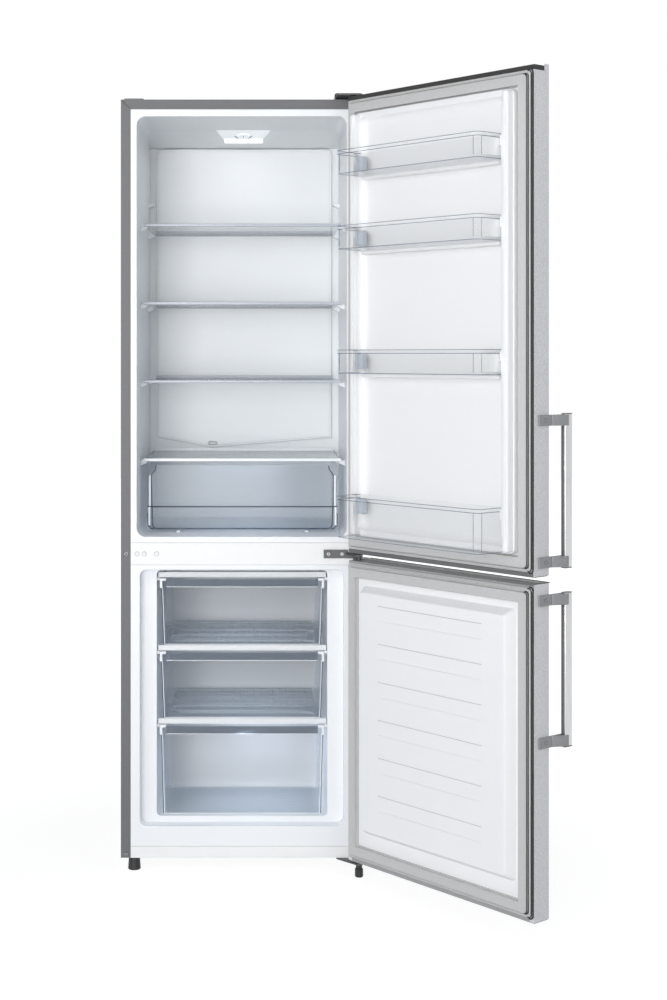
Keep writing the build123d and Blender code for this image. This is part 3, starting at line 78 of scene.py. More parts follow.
# Dykes of the fridge door: their two sides, foot, head and crown; the fine bead on the free side's crown
DYKE_X, DYKE_FOOT, DYKE_HEAD, DYKE_TOP = (217.6, 233.6), 778.0, 1708.0, 24.8
DYKE_BEAD = (
    (-220, 24.9, 797), (-224, 24.9, 797.6), (-227, 24.6, 800), (-229, 24.0, 804), (-229.6, 23.8, 810),
    (-229.6, 23.8, 1676), (-229, 24.0, 1682), (-227, 24.6, 1686), (-224, 24.9, 1688.4), (-220, 24.9, 1689),
)
# Bands of the freezer door: number, lowest edge, spacing, height, and the face that they stand on
BANDS, BAND_FOOT, BAND_STEP, BAND_HIGH, BAND_FACE = 6, 178.5, 83.0, 32.5, 9.9

# Crisper: right half of its front's edges, drawn as painted shade, as x, y and height over its floor, and its strips of
# painted highlight
CRISPER_EDGES = (
    (
        (202.3, 105.6, 151.0), (202.3, 105.6, 143.0), (212.6, 105.6, 129.0), (211.8, 105.6, 56.5),
        (211.0, 100.1, 55.5), (209.6, 100.0, 14.0), (207.0, 101.2, 7.0), (200.0, 102.8, 4.0),
    ),
    ((208.0, 100.1, 55.4), (217.9, 103.9, 55.4), (221.4, 108.8, 55.4)),
    ((221.4, 109.6, 40.0), (220.6, 108.8, 11.0), (214.0, 104.8, 4.6), (207.0, 102.9, 4.0)),
)
CRISPER_HIGHLIGHTS = ((216.2, 106.6, 56.8, 128.4), (217.4, 104.6, 12.0, 54.4))
CRISPER_STEP, CRISPER_FOOT = 55.4, 4.0

# Freezer drawers: number and half length of the floor's ribs, and where the first one lies
RIBS, RIB_HALF, RIB_FRONT = 9, 166.0, 70.0

# Dial: its centre on the slanted lamp box, the box's slope, the ticks' radius; each tick's angle, length and thickness
DIAL_PLACE, DIAL_SLOPE, TICK_RING = (0.0, 268.0, 1708.42), math.atan2(13.3, 55.0), 18.6
TICKS = ((-62, 19, 3.2), (-27, 6, 2.4), (-8, 2.6, 2.0), (8, 2.6, 2.0), (27, 6, 2.4), (62, 19, 3.2))

# Cabinet: mitres, crossed screws, plugs and capped screws of its front; the cold wall's outline and its rim
MITRE = (264.0, 0.0, 1745.0)
SCREWS = ((197.0, -5.5, 723.0), (227.5, -5.5, 723.0), (-263.0, -2.5, 40.0), (-263.0, -2.5, 723.0))
PLUGS = ((-238.0, -0.5, 723.0), (-222.0, -0.5, 723.0), (-194.0, -0.5, 723.0))
SCREW_CAPS = ((-263.0, -1.7, 40.0), (-263.0, -1.7, 723.0))
COLD_WALL = (
    (-79, 943.6), (-219, 968.4), (-219.4, 1681), (-216.5, 1689), (-208, 1693.4),
    (208, 1693.4), (216.5, 1689), (219.4, 1681), (219, 968.4), (-79, 943.6),
)
RIM_LINE, RIM_FACE, RIM_FLATNESS = 433.4, 432.3, 0.25

# Camera: shift of its frame, as the photograph's framing needs it
CAMERA_SHIFT = (0.0685, -0.145)


def linear(code):
    """Linear RGBA of an sRGB hex colour. A colour from the panel is linear already."""
    if not isinstance(code, str):
        return tuple(code)
    parts = [int(code[i : i + 2], 16) / 255 for i in (1, 3, 5)]
    return (*[p / 12.92 if p <= 0.04045 else ((p + 0.055) / 1.055) ** 2.4 for p in parts], 1.0)


def add_node(tree, kind, inputs=None, **settings):
    """Adds a node, sets its options and gives each named input a value or a link."""
    made = tree.nodes.new(kind)
    for key, value in settings.items():
        setattr(made, key, value)
    for key, value in (inputs or {}).items():
        if isinstance(value, bpy.types.NodeSocket):
            tree.links.new(value, made.inputs[key])
        else:
            made.inputs[key].default_value = value
    return made


def blank(name):
    """A node material with its output, its surface shader still to come."""
    made = bpy.data.materials.new(name)
    made.use_nodes = True
    made.node_tree.nodes.clear()
    return made, made.node_tree, add_node(made.node_tree, "ShaderNodeOutputMaterial")


def coat(name, pale, dark, grain, rough, spread, bump, metal=0.0, rounding=0.8, stretch=(1, 1, 1), **sockets):
    """An opaque finish: two close colours and a roughness that follow one grain, sizes in millimetres."""
    made, tree, out = blank(name)
    place = add_node(tree, "ShaderNodeTexCoord")
    turn = add_node(tree, "ShaderNodeMapping", {"Vector": place.outputs["Object"], "Scale": stretch})
    noise = add_node(
        tree,
        "ShaderNodeTexNoise",
        {"Vector": turn.outputs[0], "Scale": 1 / (grain * MM), "Detail": 3.0, "Roughness": 0.55},
    )
    grains = {"Value": noise.outputs[0], "From Min": 0.3, "From Max": 0.7}
    ramp = add_node(tree, "ShaderNodeMapRange", grains)
    colour = add_node(
        tree,
        "ShaderNodeMix",
        {"Factor": ramp.outputs[0], "A": linear(dark), "B": linear(pale)},
        data_type="RGBA",
    )
    gloss = add_node(tree, "ShaderNodeMapRange", {**grains, "To Min": rough + spread, "To Max": rough - spread})
    edge = add_node(tree, "ShaderNodeBevel", {"Radius": rounding * MM}, samples=4)
    relief = add_node(
        tree,
        "ShaderNodeBump",
        {"Height": noise.outputs[0], "Distance": bump * MM, "Strength": 0.6, "Normal": edge.outputs[0]},
    )
    shader = add_node(
        tree,
        "ShaderNodeBsdfPrincipled",
        {
            "Base Color": colour.outputs[2],
            "Roughness": gloss.outputs[0],
            "Normal": relief.outputs[0],
            "Metallic": metal,
        },
    )
    for key, value in sockets.items():
        shader.inputs[key.replace("_", " ")].default_value = value
    tree.links.new(shader.outputs[0], out.inputs[0])
    return made


def see_through(name, face, rim, face_alpha, rim_alpha, rough, wave=40.0, bump=0.15, ior=1.49):
    """A clear finish: thin seen square on, denser and tinted where the wall turns away."""
    made, tree, out = blank(name)
    place = add_node(tree, "ShaderNodeTexCoord")
    noise = add_node(
        tree,
        "ShaderNodeTexNoise",
        {"Vector": place.outputs["Object"], "Scale": 1 / (wave * MM), "Detail": 2.0},
    )
    relief = add_node(tree, "ShaderNodeBump", {"Height": noise.outputs[0], "Distance": bump * MM, "Strength": 0.5})
    turn = add_node(tree, "ShaderNodeLayerWeight", {"Blend": 0.35, "Normal": relief.outputs[0]})
    colour = add_node(
        tree,
        "ShaderNodeMix",
        {"Factor": turn.outputs["Facing"], "A": linear(face), "B": linear(rim)},
        data_type="RGBA",
    )
    veil = add_node(
        tree,
        "ShaderNodeMapRange",
        {
            "Value": turn.outputs["Facing"],
            "From Min": 0.25,
            "From Max": 0.95,
            "To Min": face_alpha,
            "To Max": rim_alpha,
        },
    )
    shader = add_node(
        tree,
        "ShaderNodeBsdfPrincipled",
        {
            "Base Color": colour.outputs[2],
            "Alpha": veil.outputs[0],
            "Normal": relief.outputs[0],
            "Roughness": rough,
            "IOR": ior,
        },
    )
    tree.links.new(shader.outputs[0], out.inputs[0])
    return made


def lit_lens(name):
    """Frosted acrylic that glows evenly, with ribs along its length."""
    made, tree, out = blank(name)
    place = add_node(tree, "ShaderNodeTexCoord")
    ribs = add_node(tree, "ShaderNodeTexWave", {"Vector": place.outputs["Object"], "Scale": 1 / (6 * MM)})
    glow = add_node(tree, "ShaderNodeMapRange", {"Value": ribs.outputs["Fac"], "To Min": 0.75, "To Max": 0.95})
    shader = add_node(
        tree,
        "ShaderNodeBsdfPrincipled",
        {
            "Base Color": linear("#f6f7f7"),
            "Roughness": 0.6,
            "Emission Color": linear("#fdfdfb"),
            "Emission Strength": glow.outputs[0],
        },
    )
    tree.links.new(shader.outputs[0], out.inputs[0])
    return made


def make_finishes(look):
    """Every finish of the fridge freezer by name. The finest grains are drawn coarser, so that they show."""
    made = {}
    # Steel sheet with baked polyester paint: mid grey, low gloss, faint orange peel
    made["cabinet_paint"] = coat(
        "painted_steel_grey", look.cabinet_pale, look.cabinet_dark, grain=3.0, rough=0.5, spread=0.05, bump=0.01
    )
    # Steel sheet dipped in zinc: patchy spangle of about 14 mm, dull shine
    made["back_steel"] = coat(
        "galvanised_steel", "#b3b6b8", "#9da1a4", grain=14.0, rough=0.42, spread=0.1, bump=0.02, metal=0.7
    )
    # Steel strips with baked white paint, between and under the compartments: bright, low gloss
    made["plinth_paint"] = coat(
        "painted_steel_white", "#f3f3f2", "#eeeeed", grain=3.0, rough=0.42, spread=0.05, bump=0.03
    )
    # Vacuum-formed polystyrene sheet of the compartments: cool white, soft edges, low sheen
    made["liner_white"] = coat(
        "formed_polystyrene", "#f1f3f5", "#eff1f3", grain=3.0, rough=0.36, spread=0.03, bump=0.006, rounding=2.0
    )
    # The same sheet on the doors: neutral white
    made["door_liner_white"] = coat(
        "formed_polystyrene_door", "#f2f2f2", "#f0f0f0", grain=3.0, rough=0.36, spread=0.03, bump=0.006, rounding=2.0
    )
    # Rigid polyurethane foam, blown in place: yellowish, dull, cells drawn at 1.6 mm
    made["foam"] = coat("polyurethane_foam", "#dcc79a", "#c9b182", grain=1.6, rough=0.9, spread=0.05, bump=0.5)
    # Extruded soft PVC of the seals: warm light grey, matte; the same grey paints the shade along the freezer door's
    # bands
    made["seal_grey"] = coat(
        "soft_pvc_seal", "#c8c7c6", "#c1c0bf", grain=3.0, rough=0.6, spread=0.05, bump=0.01, rounding=1.2
    )
    # Nearly black: painted shade in the grooves between the seal's lips and in the screw recesses; also the dark mitre
    # seams
    made["dark_joint_and_shade"] = coat("dark_joints_and_painted_shade", "#262525", "#1e1d1d", grain=5.0, rough=0.55, spread=0.06, bump=0.02)
    # Steel coated with metal flakes in clear lacquer: silver, broad soft shine, flakes drawn at about 2 mm
    made["door_silver"] = coat(
        "flake_silver_steel", look.door_pale, look.door_dark, grain=2.2, rough=0.6, spread=0.06, bump=0.01, metal=0.3
    )
    # ABS moulded in a spark-eroded tool: black, fine grain of about 1.5 mm as drawn
    made["black_plastic"] = coat(
        "black_moulded_abs", "#242425", "#1a1a1b", grain=1.5, rough=0.45, spread=0.08, bump=0.05
    )
    # Dark grey ABS of the bracket plugs and screw caps; the same grey paints the highlight on the fridge door's lower
    # cap and the shade along the handle bars
    made["grey_caps_and_painted_light"] = coat("grey_abs_caps_and_painted_light", "#6a6a6b", "#5f5f60", grain=1.5, rough=0.45, spread=0.08, bump=0.03)
    # Moulded ABS caps of the freezer door: mid grey
    made["cap_pale"] = coat("pale_cap_abs", "#a3a3a4", "#989899", grain=1.5, rough=0.45, spread=0.08, bump=0.03)
    # ABS moulded in a polished tool: black with a clear gloss
    made["cover_black"] = coat("black_gloss_abs", "#2a2a2b", "#202021", grain=6.0, rough=0.22, spread=0.04, bump=0.02)
    # ABS moulded in the cabinet's grey: matte
    made["cover_grey"] = coat("grey_moulded_abs", "#8b8b8c", "#828283", grain=1.5, rough=0.5, spread=0.06, bump=0.04)
    # Moulded nylon plugs: white, soft gloss
    made["plug_white"] = coat("white_plug_nylon", "#f0f0ef", "#e8e8e7", grain=1.5, rough=0.45, spread=0.05, bump=0.03)
    # Aluminium brushed along its length and anodised: pale metal with long fine streaks
    made["handle_aluminium"] = coat(
        "anodised_aluminium", "#d6d7d8", "#c3c4c5", grain=1.2, rough=0.3, spread=0.08, bump=0.01, metal=1.0,
        stretch=(1, 1, 0.02),
    )
    # ABS brackets sprayed silver grey: satin
    made["bracket_grey"] = coat(
        "painted_abs_grey", "#98989a", "#8d8d8e", grain=1.6, rough=0.45, spread=0.06, bump=0.03, metal=0.3
    )
    # Pressed steel hinges, phosphated and painted: dark, half metallic
    made["hinge_steel"] = coat(
        "hinge_steel_dark", "#5c5c5d", "#4d4d4e", grain=2.0, rough=0.42, spread=0.08, bump=0.03, metal=0.5
    )
    # Steel screws plated with zinc: bright grey metal
    made["screw_steel"] = coat(
        "zinc_plated_screw", "#b9b9ba", "#a4a4a5", grain=1.0, rough=0.35, spread=0.06, bump=0.01, metal=0.8
    )
    # Moulded ABS of the lamp box and dial: clean white, with a faint painted glow so that it reads brighter than the
    # ceiling
    made["lamp_white"] = coat(
        "white_abs_painted_glow", "#f4f6f7", "#f0f3f5", grain=4.0, rough=0.38, spread=0.05, bump=0.01,
        Emission_Color=linear("#f4f7fa"), Emission_Strength=0.3,
    )
    # Moulded acrylic lens, frosted, over the lit lamp: an even glow with fine ribs, drawn at about 2 mm
    made["lamp_clear"] = lit_lens("frosted_acrylic_lit")
    # Extruded PVC pipe: pale grey, matte
    made["pipe_grey"] = coat("grey_pvc_pipe", "#d5d8da", "#cccfd1", grain=4.0, rough=0.5, spread=0.05, bump=0.03)
    # Steel wire and tube, powder-coated: white, soft gloss
    made["evaporator_white"] = coat(
        "coated_wire_white", "#eceeef", "#e2e5e7", grain=4.0, rough=0.4, spread=0.05, bump=0.04
    )
    # Drawn steel shell and coil with stoved enamel: black, glossy
    made["compressor_black"] = coat("black_enamel", "#1c1c1d", "#141415", grain=5.0, rough=0.28, spread=0.06, bump=0.05)
    # Moulded polypropylene tray: black, waxy
    made["drip_black"] = coat(
        "black_polypropylene", "#232324", "#1b1b1c", grain=2.0, rough=0.5, spread=0.06, bump=0.05
    )
    # Toughened float glass: clear and flat, greenish where it turns edge on
    made["shelf_glass"] = see_through("toughened_glass", "#dfe8e8", "#a9b9bd", 0.1, 0.42, rough=0.05, ior=1.52)
    # Clear polystyrene moulded in a polished tool, for the bins: almost unseen square on, bluish where it turns
    made["clear_plastic"] = see_through("clear_polystyrene", "#e9edf2", "#ccd5e0", 0.04, 0.26, rough=0.08)
    # The same moulding, deeper, for the freezer drawers
    made["drawer_plastic"] = see_through("clear_polystyrene_drawer", "#dbe5ee", "#c6d4e1", 0.04, 0.5, rough=0.1)
    # The same moulding, tinted blue, for the crisper
    made["crisper_plastic"] = see_through("clear_polystyrene_crisper", "#bdcbd8", "#b8c6d4", 0.13, 0.45, rough=0.1)
    # Its thick rims, which gather the tint; drawn darker and denser than that, as painted shade for their dark outlines
    made["edge_plastic"] = see_through("polystyrene_edge", "#8b97a6", "#788494", 0.72, 0.9, rough=0.12)
    # Its double walls at the drawer grips, a light veil
    made["hook_plastic"] = see_through("polystyrene_hook", "#a9b6c6", "#94a4b7", 0.16, 0.34, rough=0.1)
    # Dark lines on its edges, nearly opaque: painted shade where the edges bend the light away
    made["painted_shade_edge_plastic"] = see_through("polystyrene_painted_shade_edge", "#3f4a59", "#353e4b", 0.9, 0.97, rough=0.12)
    # Bright lines and strips on its edges, nearly opaque: painted highlights where the edges send the light on
    made["painted_highlight_edge_plastic"] = see_through("polystyrene_painted_highlight_edge", "#fcfeff", "#eef4f9", 0.95, 0.97, rough=0.12)
    # A bright white plate on the free end walls of the bins: painted highlight
    made["painted_highlight_wall_plastic"] = see_through("polystyrene_painted_highlight_wall", "#ffffff", "#fafcfe", 0.9, 0.95, rough=0.12)
    # Its hooks on the bins, frosted where wall lies behind wall: milky blue, soft gloss
    made["bin_hook_plastic"] = coat(
        "frosted_polystyrene_hook", "#bfc5cc", "#adb5bf", grain=5.0, rough=0.35, spread=0.05, bump=0.01
    )
    # White polystyrene trims, moulded in a polished tool: clean gloss
    made["trim_white"] = coat(
        "white_trim_polystyrene", "#f2f4f6", "#eaedf0", grain=4.0, rough=0.32, spread=0.04, bump=0.02
    )
    # The same trims in bluish grey on the shelves
    made["trim_grey"] = coat(
        "grey_trim_polystyrene", "#b9bdc6", "#aeb2bc", grain=4.0, rough=0.3, spread=0.04, bump=0.02
    )
    return made


COATED = {
    "cabinet_paint": ("side_panel_left", "side_panel_right", "top_panel"),
    "back_steel": ("back_panel", "machine_tray"),
    "plinth_paint": ("base_plate", "mullion_rail"),
    "liner_white": ("fridge_liner", "freezer_liner"),
    "door_liner_white": ("fridge_door_liner", "freezer_door_liner"),
    "foam": ("cabinet_foam", "fridge_door_foam", "freezer_door_foam"),
    "seal_grey": ("fridge_door_seal", "freezer_door_seal"),
    "door_silver": ("fridge_door_skin", "freezer_door_skin"),
    "black_plastic": (
        "fridge_door_caps",
        "foot_left",
        "foot_right",
        "rear_roller_left",
        "rear_roller_right",
        "compressor_grommets",
    ),
    "cap_pale": ("freezer_door_caps",),
    "cover_black": ("top_hinge_cover",),
    "cover_grey": ("top_blank_cover",),
    "plug_white": ("mullion_plugs",),
    "handle_aluminium": ("fridge_door_handle_bar", "freezer_door_handle_bar"),
    "bracket_grey": ("fridge_door_handle_brackets", "freezer_door_handle_brackets"),
    "hinge_steel": ("top_hinge", "mid_hinge", "lower_hinge"),
    "screw_steel": ("cabinet_screws",),
    "lamp_white": ("lamp_housing", "thermostat_knob"),
    "lamp_clear": ("lamp_lens",),
    "pipe_grey": ("drain_pipe",),
    "evaporator_white": ("freezer_evaporator",),
    "compressor_black": ("compressor", "condenser"),
    "drip_black": ("drip_tray",),
    "shelf_glass": ("shelf_1_glass", "shelf_2_glass", "shelf_3_glass", "crisper_cover_glass"),
    "trim_white": ("crisper_cover_trim",),
    "trim_grey": ("shelf_1_trim", "shelf_2_trim", "shelf_3_trim"),
    "clear_plastic": BINS,
    "crisper_plastic": ("crisper_drawer",),
    "drawer_plastic": ("freezer_drawer_1", "freezer_drawer_2", "freezer_drawer_3"),
}
FINISHES = {}


def wear(obj, material):
    """Gives an object one material all over."""
    obj.data.materials.clear()
    obj.data.materials.append(material)


def still_box(node):
    """Lowest and highest corner of a node, in millimetres."""
    return [Vector(corner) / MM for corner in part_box(node)]


def shut_box(node):
    """Lowest and highest corner of a door's node with its door shut, in millimetres."""
    spots = [SHUT @ vertex.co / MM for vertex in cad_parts[node].data.vertices]
    return [Vector([pick(spot[i] for spot in spots) for i in range(3)]) for pick in (min, max)]


def block(name, low, high, bevel, segments=3):
    """A block between two corners with rounded edges."""
    bpy.ops.object.select_all(action="DESELECT")
    low, high = Vector(low) * MM, Vector(high) * MM
    bpy.ops.mesh.primitive_cube_add(size=1.0, location=(low + high) / 2, scale=high - low)
    bpy.ops.object.transform_apply()
    piece = bpy.context.active_object
    piece.name = name
    bpy.ops.object.mode_set(mode="EDIT")
    bpy.ops.mesh.bevel(offset=bevel * MM, segments=segments, affect="EDGES")
    bpy.ops.object.mode_set(mode="OBJECT")
    bpy.ops.object.shade_smooth_by_angle(angle=math.radians(40))
    return piece


def ring(name, size, place, corner):
    """A loop of edges: an upright rectangle with rounded corners."""
    bpy.ops.object.select_all(action="DESELECT")
    bpy.ops.mesh.primitive_plane_add(size=1.0, location=Vector(place) * MM, rotation=(math.radians(90), 0, 0))
    piece = bpy.context.active_object
    piece.name = name
    piece.scale = (size[0] * MM, size[1] * MM, 1.0)
    bpy.ops.object.transform_apply()
    bpy.ops.object.mode_set(mode="EDIT")
    bpy.ops.mesh.select_all(action="SELECT")
    bpy.ops.mesh.delete(type="ONLY_FACE")
    bpy.ops.mesh.select_all(action="SELECT")
    bpy.ops.mesh.bevel(offset=corner * MM, segments=5, affect="VERTICES")
    bpy.ops.object.mode_set(mode="OBJECT")
    return piece


def hoop(place, turn, radius, thick):
    """A thin round ring about a plug."""
    bpy.ops.object.select_all(action="DESELECT")
    bpy.ops.mesh.primitive_torus_add(
        major_radius=radius * MM,
        minor_radius=thick * MM,
        major_segments=32,
        minor_segments=8,
        location=Vector(place) * MM,
        rotation=turn,
    )
    bpy.ops.object.transform_apply()
    return bpy.context.active_object


def trace(name, points):
    """A line of edges from point to point."""
    bpy.ops.object.select_all(action="DESELECT")
    points = [Vector(point) * MM for point in points]
    bpy.ops.mesh.primitive_plane_add(size=MM, location=points[0])
    piece = bpy.context.active_object
    piece.name = name
    bpy.ops.object.transform_apply()
    bpy.ops.object.mode_set(mode="EDIT")
    bpy.ops.mesh.select_all(action="SELECT")
    bpy.ops.mesh.merge(type="CENTER")
    for near, far in zip(points, points[1:]):
        bpy.ops.mesh.extrude_region_move(TRANSFORM_OT_translate={"value": far - near})
    bpy.ops.object.mode_set(mode="OBJECT")
    return piece


def round_three(side, near, far, corner, z):
    """Points along one end, the front and the other end of a tray, its front corners rounded."""
    turns = [math.radians(angle) for angle in range(0, 91, 15)]
    left = [(corner * (1 - math.cos(turn)) - side, far - corner * (1 - math.sin(turn))) for turn in turns]
    right = [(-x, y) for x, y in reversed(left)]
    return [(x, y, z) for x, y in ((-side, near), *left, *right, (side, near))]


def rod(piece, radius):
    """Thickens a line or loop of edges into a round bead."""
    bpy.ops.object.select_all(action="DESELECT")
    piece.select_set(True)
    bpy.context.view_layer.objects.active = piece
    bpy.ops.object.convert(target="CURVE")
    bead = bpy.context.active_object
    bead.data.bevel_depth = radius * MM
    bead.data.bevel_resolution = 2
    bead.data.use_fill_caps = True
    bpy.ops.object.convert(target="MESH")
    bpy.ops.object.shade_smooth()
    return bpy.context.active_object


def settle(pieces, name, body, finish, opened=False):
    """Makes one piece of several, coats it and puts it on its body, swung open with its door if it is on one."""
    bpy.ops.object.select_all(action="DESELECT")
    for piece in pieces:
        piece.select_set(True)
    bpy.context.view_layer.objects.active = pieces[0]
    if len(pieces) > 1:
        bpy.ops.object.join()
    made = bpy.context.active_object
    made.name = name
    if opened:
        made.data.transform(OPENED)
    wear(made, FINISHES[finish])
    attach(made, body)
    return made


class FridgeLook(bpy.types.PropertyGroup):
    """What a user may change: bead and fold sizes, main colours, light and camera."""

    bead_radius: bpy.props.FloatProperty(
        name="Bead",
        description="Radius of the beads along moulded edges",
        default=0.0007,
        min=0.0002,
        unit="LENGTH",
    )
    fold_radius: bpy.props.FloatProperty(
        name="Seal fold",
        description="Radius of the folds along the door seals",
        default=0.0017,
        min=0.0005,
        unit="LENGTH",
    )
    cabinet_pale: bpy.props.FloatVectorProperty(
        name="Cabinet paint",
        description="Paler colour of the cabinet's paint",
        default=linear("#6b6b6c"),
        min=0.0,
        max=1.0,
        size=4,
        subtype="COLOR",
    )
    cabinet_dark: bpy.props.FloatVectorProperty(
        name="Cabinet paint, grain",
        description="Darker colour in the grain of the cabinet's paint",
        default=linear("#646465"),
        min=0.0,
        max=1.0,
        size=4,
        subtype="COLOR",
    )
    door_pale: bpy.props.FloatVectorProperty(
        name="Door silver",
        description="Paler colour of the doors' silver coat",
        default=linear("#e2e2e3"),
        min=0.0,
        max=1.0,
        size=4,
        subtype="COLOR",
    )
    door_dark: bpy.props.FloatVectorProperty(
        name="Door silver, flakes",
        description="Darker colour between the flakes of the doors' silver coat",
        default=linear("#c4c4c5"),
        min=0.0,
        max=1.0,
        size=4,
        subtype="COLOR",
    )
    front_power: bpy.props.FloatProperty(
        name="Front light",
        description="Power of the large lamp left of the camera",
        default=101.0,
        min=0.0,
        subtype="POWER",
    )
    key_power: bpy.props.FloatProperty(
        name="Key light", description="Power of the lamp on the upper left", default=46.0, min=0.0, subtype="POWER"
    )
    fill_power: bpy.props.FloatProperty(
        name="Fill light", description="Power of the lamp on the right", default=12.0, min=0.0, subtype="POWER"
    )
    lamp_power: bpy.props.FloatProperty(
        name="Fridge lamp", description="Power of the lamp inside the fridge", default=0.04, min=0.0, subtype="POWER"
    )
    drawer_power: bpy.props.FloatProperty(
        name="Drawer lamps",
        description="Power of the small lamps hidden in the drawers",
        default=0.14,
        min=0.0,
        subtype="POWER",
    )
    sky: bpy.props.FloatProperty(
        name="Surround", description="Brightness of the light from all round", default=0.25, min=0.0
    )
    camera_place: bpy.props.FloatVectorProperty(
        name="Camera place",
        description="Where the camera stands",
        default=(0.05275, -3.785, 1.1751),
        subtype="TRANSLATION",
        unit="LENGTH",
    )
    camera_lens: bpy.props.FloatProperty(
        name="Lens", description="Focal length of the camera", default=59.93, min=10.0, subtype="DISTANCE_CAMERA"
    )


class FRIDGE_OT_coat(bpy.types.Operator):
    """Gives every CAD piece its finish"""

    bl_idname = "fridge.coat"
    bl_label = "Coat the pieces"

    def execute(self, context):
        FINISHES.update(make_finishes(context.scene.fridge_look))
        for finish, nodes in COATED.items():
            for name in nodes:
                wear(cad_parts[name], FINISHES[finish])
        return {"FINISHED"}


class FRIDGE_OT_seal_folds(bpy.types.Operator):
    """Adds the fold round each door seal and, along its free side, dark lines of painted shade where its grooves lie"""

    bl_idname = "fridge.seal_folds"
    bl_label = "Fold the seals"

    def execute(self, context):
        radius = context.scene.fridge_look.fold_radius / MM
        turns = [math.radians(angle) for angle in range(0, 91, 15)]
        bend = [(SEAL_CORNER * (1 - math.sin(turn)), SEAL_CORNER * (1 - math.cos(turn))) for turn in turns]
        for door in DOORS:
            low, high = shut_box(f"{door}_seal")
            middle = (low + high) / 2
            size = (high.x - low.x - 2 * FOLD_INSET, high.z - low.z - 2 * FOLD_INSET)
            fold = rod(ring("fold", size, (middle.x, low.y + FOLD_RISE, middle.z), SEAL_CORNER), FOLD_SHARE * radius)
            settle([fold], f"{door}_seal_fold", door, "seal_grey", True)
            grooves = []
            for inset, rise, share in SEAL_GROOVES:
                side, foot, head = low.x + inset, low.z + inset, high.z - inset
                path = [(side + SEAL_RETURN, foot)] + [(side + x, foot + z) for x, z in bend]
                path += [(side + x, head - z) for x, z in reversed(bend)] + [(side + SEAL_RETURN, head)]
                line = trace("groove", [(x, low.y + rise, z) for x, z in path])
                grooves.append(rod(line, share * radius))
            settle(grooves, f"{door}_seal_groove_shades", door, "dark_joint_and_shade", True)
        return {"FINISHED"}


class FRIDGE_OT_bin_beads(bpy.types.Operator):
    """Adds the moulded beads along the edges of the door bins, darkened as painted shade, their hooks and a painted
    highlight on their free end walls
    """

    bl_idname = "fridge.bin_beads"
    bl_label = "Bead the bins"

    def execute(self, context):
        radius = context.scene.fridge_look.bead_radius / MM
        for name in BINS:
            low, high = shut_box(name)
            beads = []
            for z, inset in ((high.z - 0.5, -0.5), (high.z - 8, -0.3), (low.z + 1.2, 1.0)):
                path = round_three(BIN_SIDE - inset, BIN_BACK + 2, BIN_FRONT - inset, BIN_CORNER, z)
                beads.append(rod(trace("bead", path), radius))
            for x in (-BIN_SIDE, BIN_SIDE):
                for spot in ((x, BIN_FRONT - 12), (x - math.copysign(12, x), BIN_FRONT)):
                    line = trace("bead", ((*spot, low.z + 6), (*spot, high.z - 8)))
                    beads.append(rod(line, 0.8 * radius))
            # The beads' dark bluish grey is partly the rims' tint and partly painted shade for their dark outlines
            settle(beads, f"{name}_beads", name, "edge_plastic", True)
            x, y = BIN_SIDE - 2.7, BIN_BACK + 21
            hook = block("hook", (x - 20, BIN_BACK + 2.6, high.z - 42), (x, y, high.z - 9), 2)
            rib = block("hook", (x - 11, y, high.z - 40), (x - 8, y + 4, high.z - 11), 1)
            settle([hook, rib], f"{name}_hooks", name, "bin_hook_plastic", True)
            # Painted highlight: a bright white plate on the free end wall of each small bin
            if name != "bottle_bin":
                foot = (-BIN_SIDE - 1.3, BIN_BACK + 6, low.z + 7)
                wall = block("end", foot, (-BIN_SIDE - 0.5, BIN_FRONT - 13, high.z - 9.5), 0.3, 1)
                settle([wall], f"{name}_end", name, "painted_highlight_wall_plastic", True)
        return {"FINISHED"}


class FRIDGE_OT_handles(bpy.types.Operator):
    """Models the handle bars, their end plates, a dark strip of painted shade along each bar, the clamps, and the plugs
    in their brackets
    """

    bl_idname = "fridge.handles"
    bl_label = "Make the handles"

    def execute(self, context):
        for door in DOORS:
            low, high = shut_box(f"{door}_handle_bar")
            bar = block("bar", (BAR_X[0], BAR_Y[0], low.z + 1.2), (BAR_X[1], BAR_Y[1], high.z - 1.2), 2.6, 4)
            bar = settle([bar], f"{door}_handle_profile", door, "handle_aluminium", True)
            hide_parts(f"{door}_handle_bar")
            plates, plugs, clamps = [], [], []
            for z in (low.z, high.z - 1.6):
                foot, head = (BAR_X[0] - 0.2, BAR_Y[0] - 0.2, z), (BAR_X[1] + 0.3, BAR_Y[1] + 0.3, z + 1.6)
                plates.append(block("plate", foot, head, 0.7, 2))
            settle(plates, f"{door}_handle_ends", door, "bracket_grey", True)
            # Painted shade: a dark grey strip on the bar's inner face, where it lies in shade
            grip = block("grip", (-288, -88.5, low.z + 26), (-280.4, -86.2, high.z - 26), 0.8, 2)
            settle([grip], f"{door}_handle_shade_strip", door, "grey_caps_and_painted_light", True)
            for z in (low.z + BRACKET_INSET, high.z - BRACKET_INSET):
                plugs.append(hoop((-279.9, -41, z), (0, math.radians(90), 0), 4.2, 0.45))
                foot, head = z - CLAMP_HALF, z + CLAMP_HALF
                clamps.append(block("clamp", (-293.4, -95.5, foot), (-286, -84, head), 0.8))
                clamp = block("clamp", (-293.4, -85.6, foot), (-287, -59.6, head), 0.8)
                # The arm leans from the bar back to the bracket
                bpy.ops.object.mode_set(mode="EDIT")
                bpy.ops.mesh.select_all(action="DESELECT")
                bpy.ops.object.mode_set(mode="OBJECT")
                for vertex in clamp.data.vertices:
                    vertex.select = vertex.co.y > -75 * MM
                bpy.ops.object.mode_set(mode="EDIT")
                bpy.ops.transform.translate(value=(CLAMP_LEAN * MM, 0, 0))
                bpy.ops.object.mode_set(mode="OBJECT")
                clamps.append(clamp)
            settle(clamps, f"{door}_handle_clamps", door, "bracket_grey", True)
            settle(plugs, f"{door}_bracket_plugs", door, "grey_caps_and_painted_light", True)
        return {"FINISHED"}


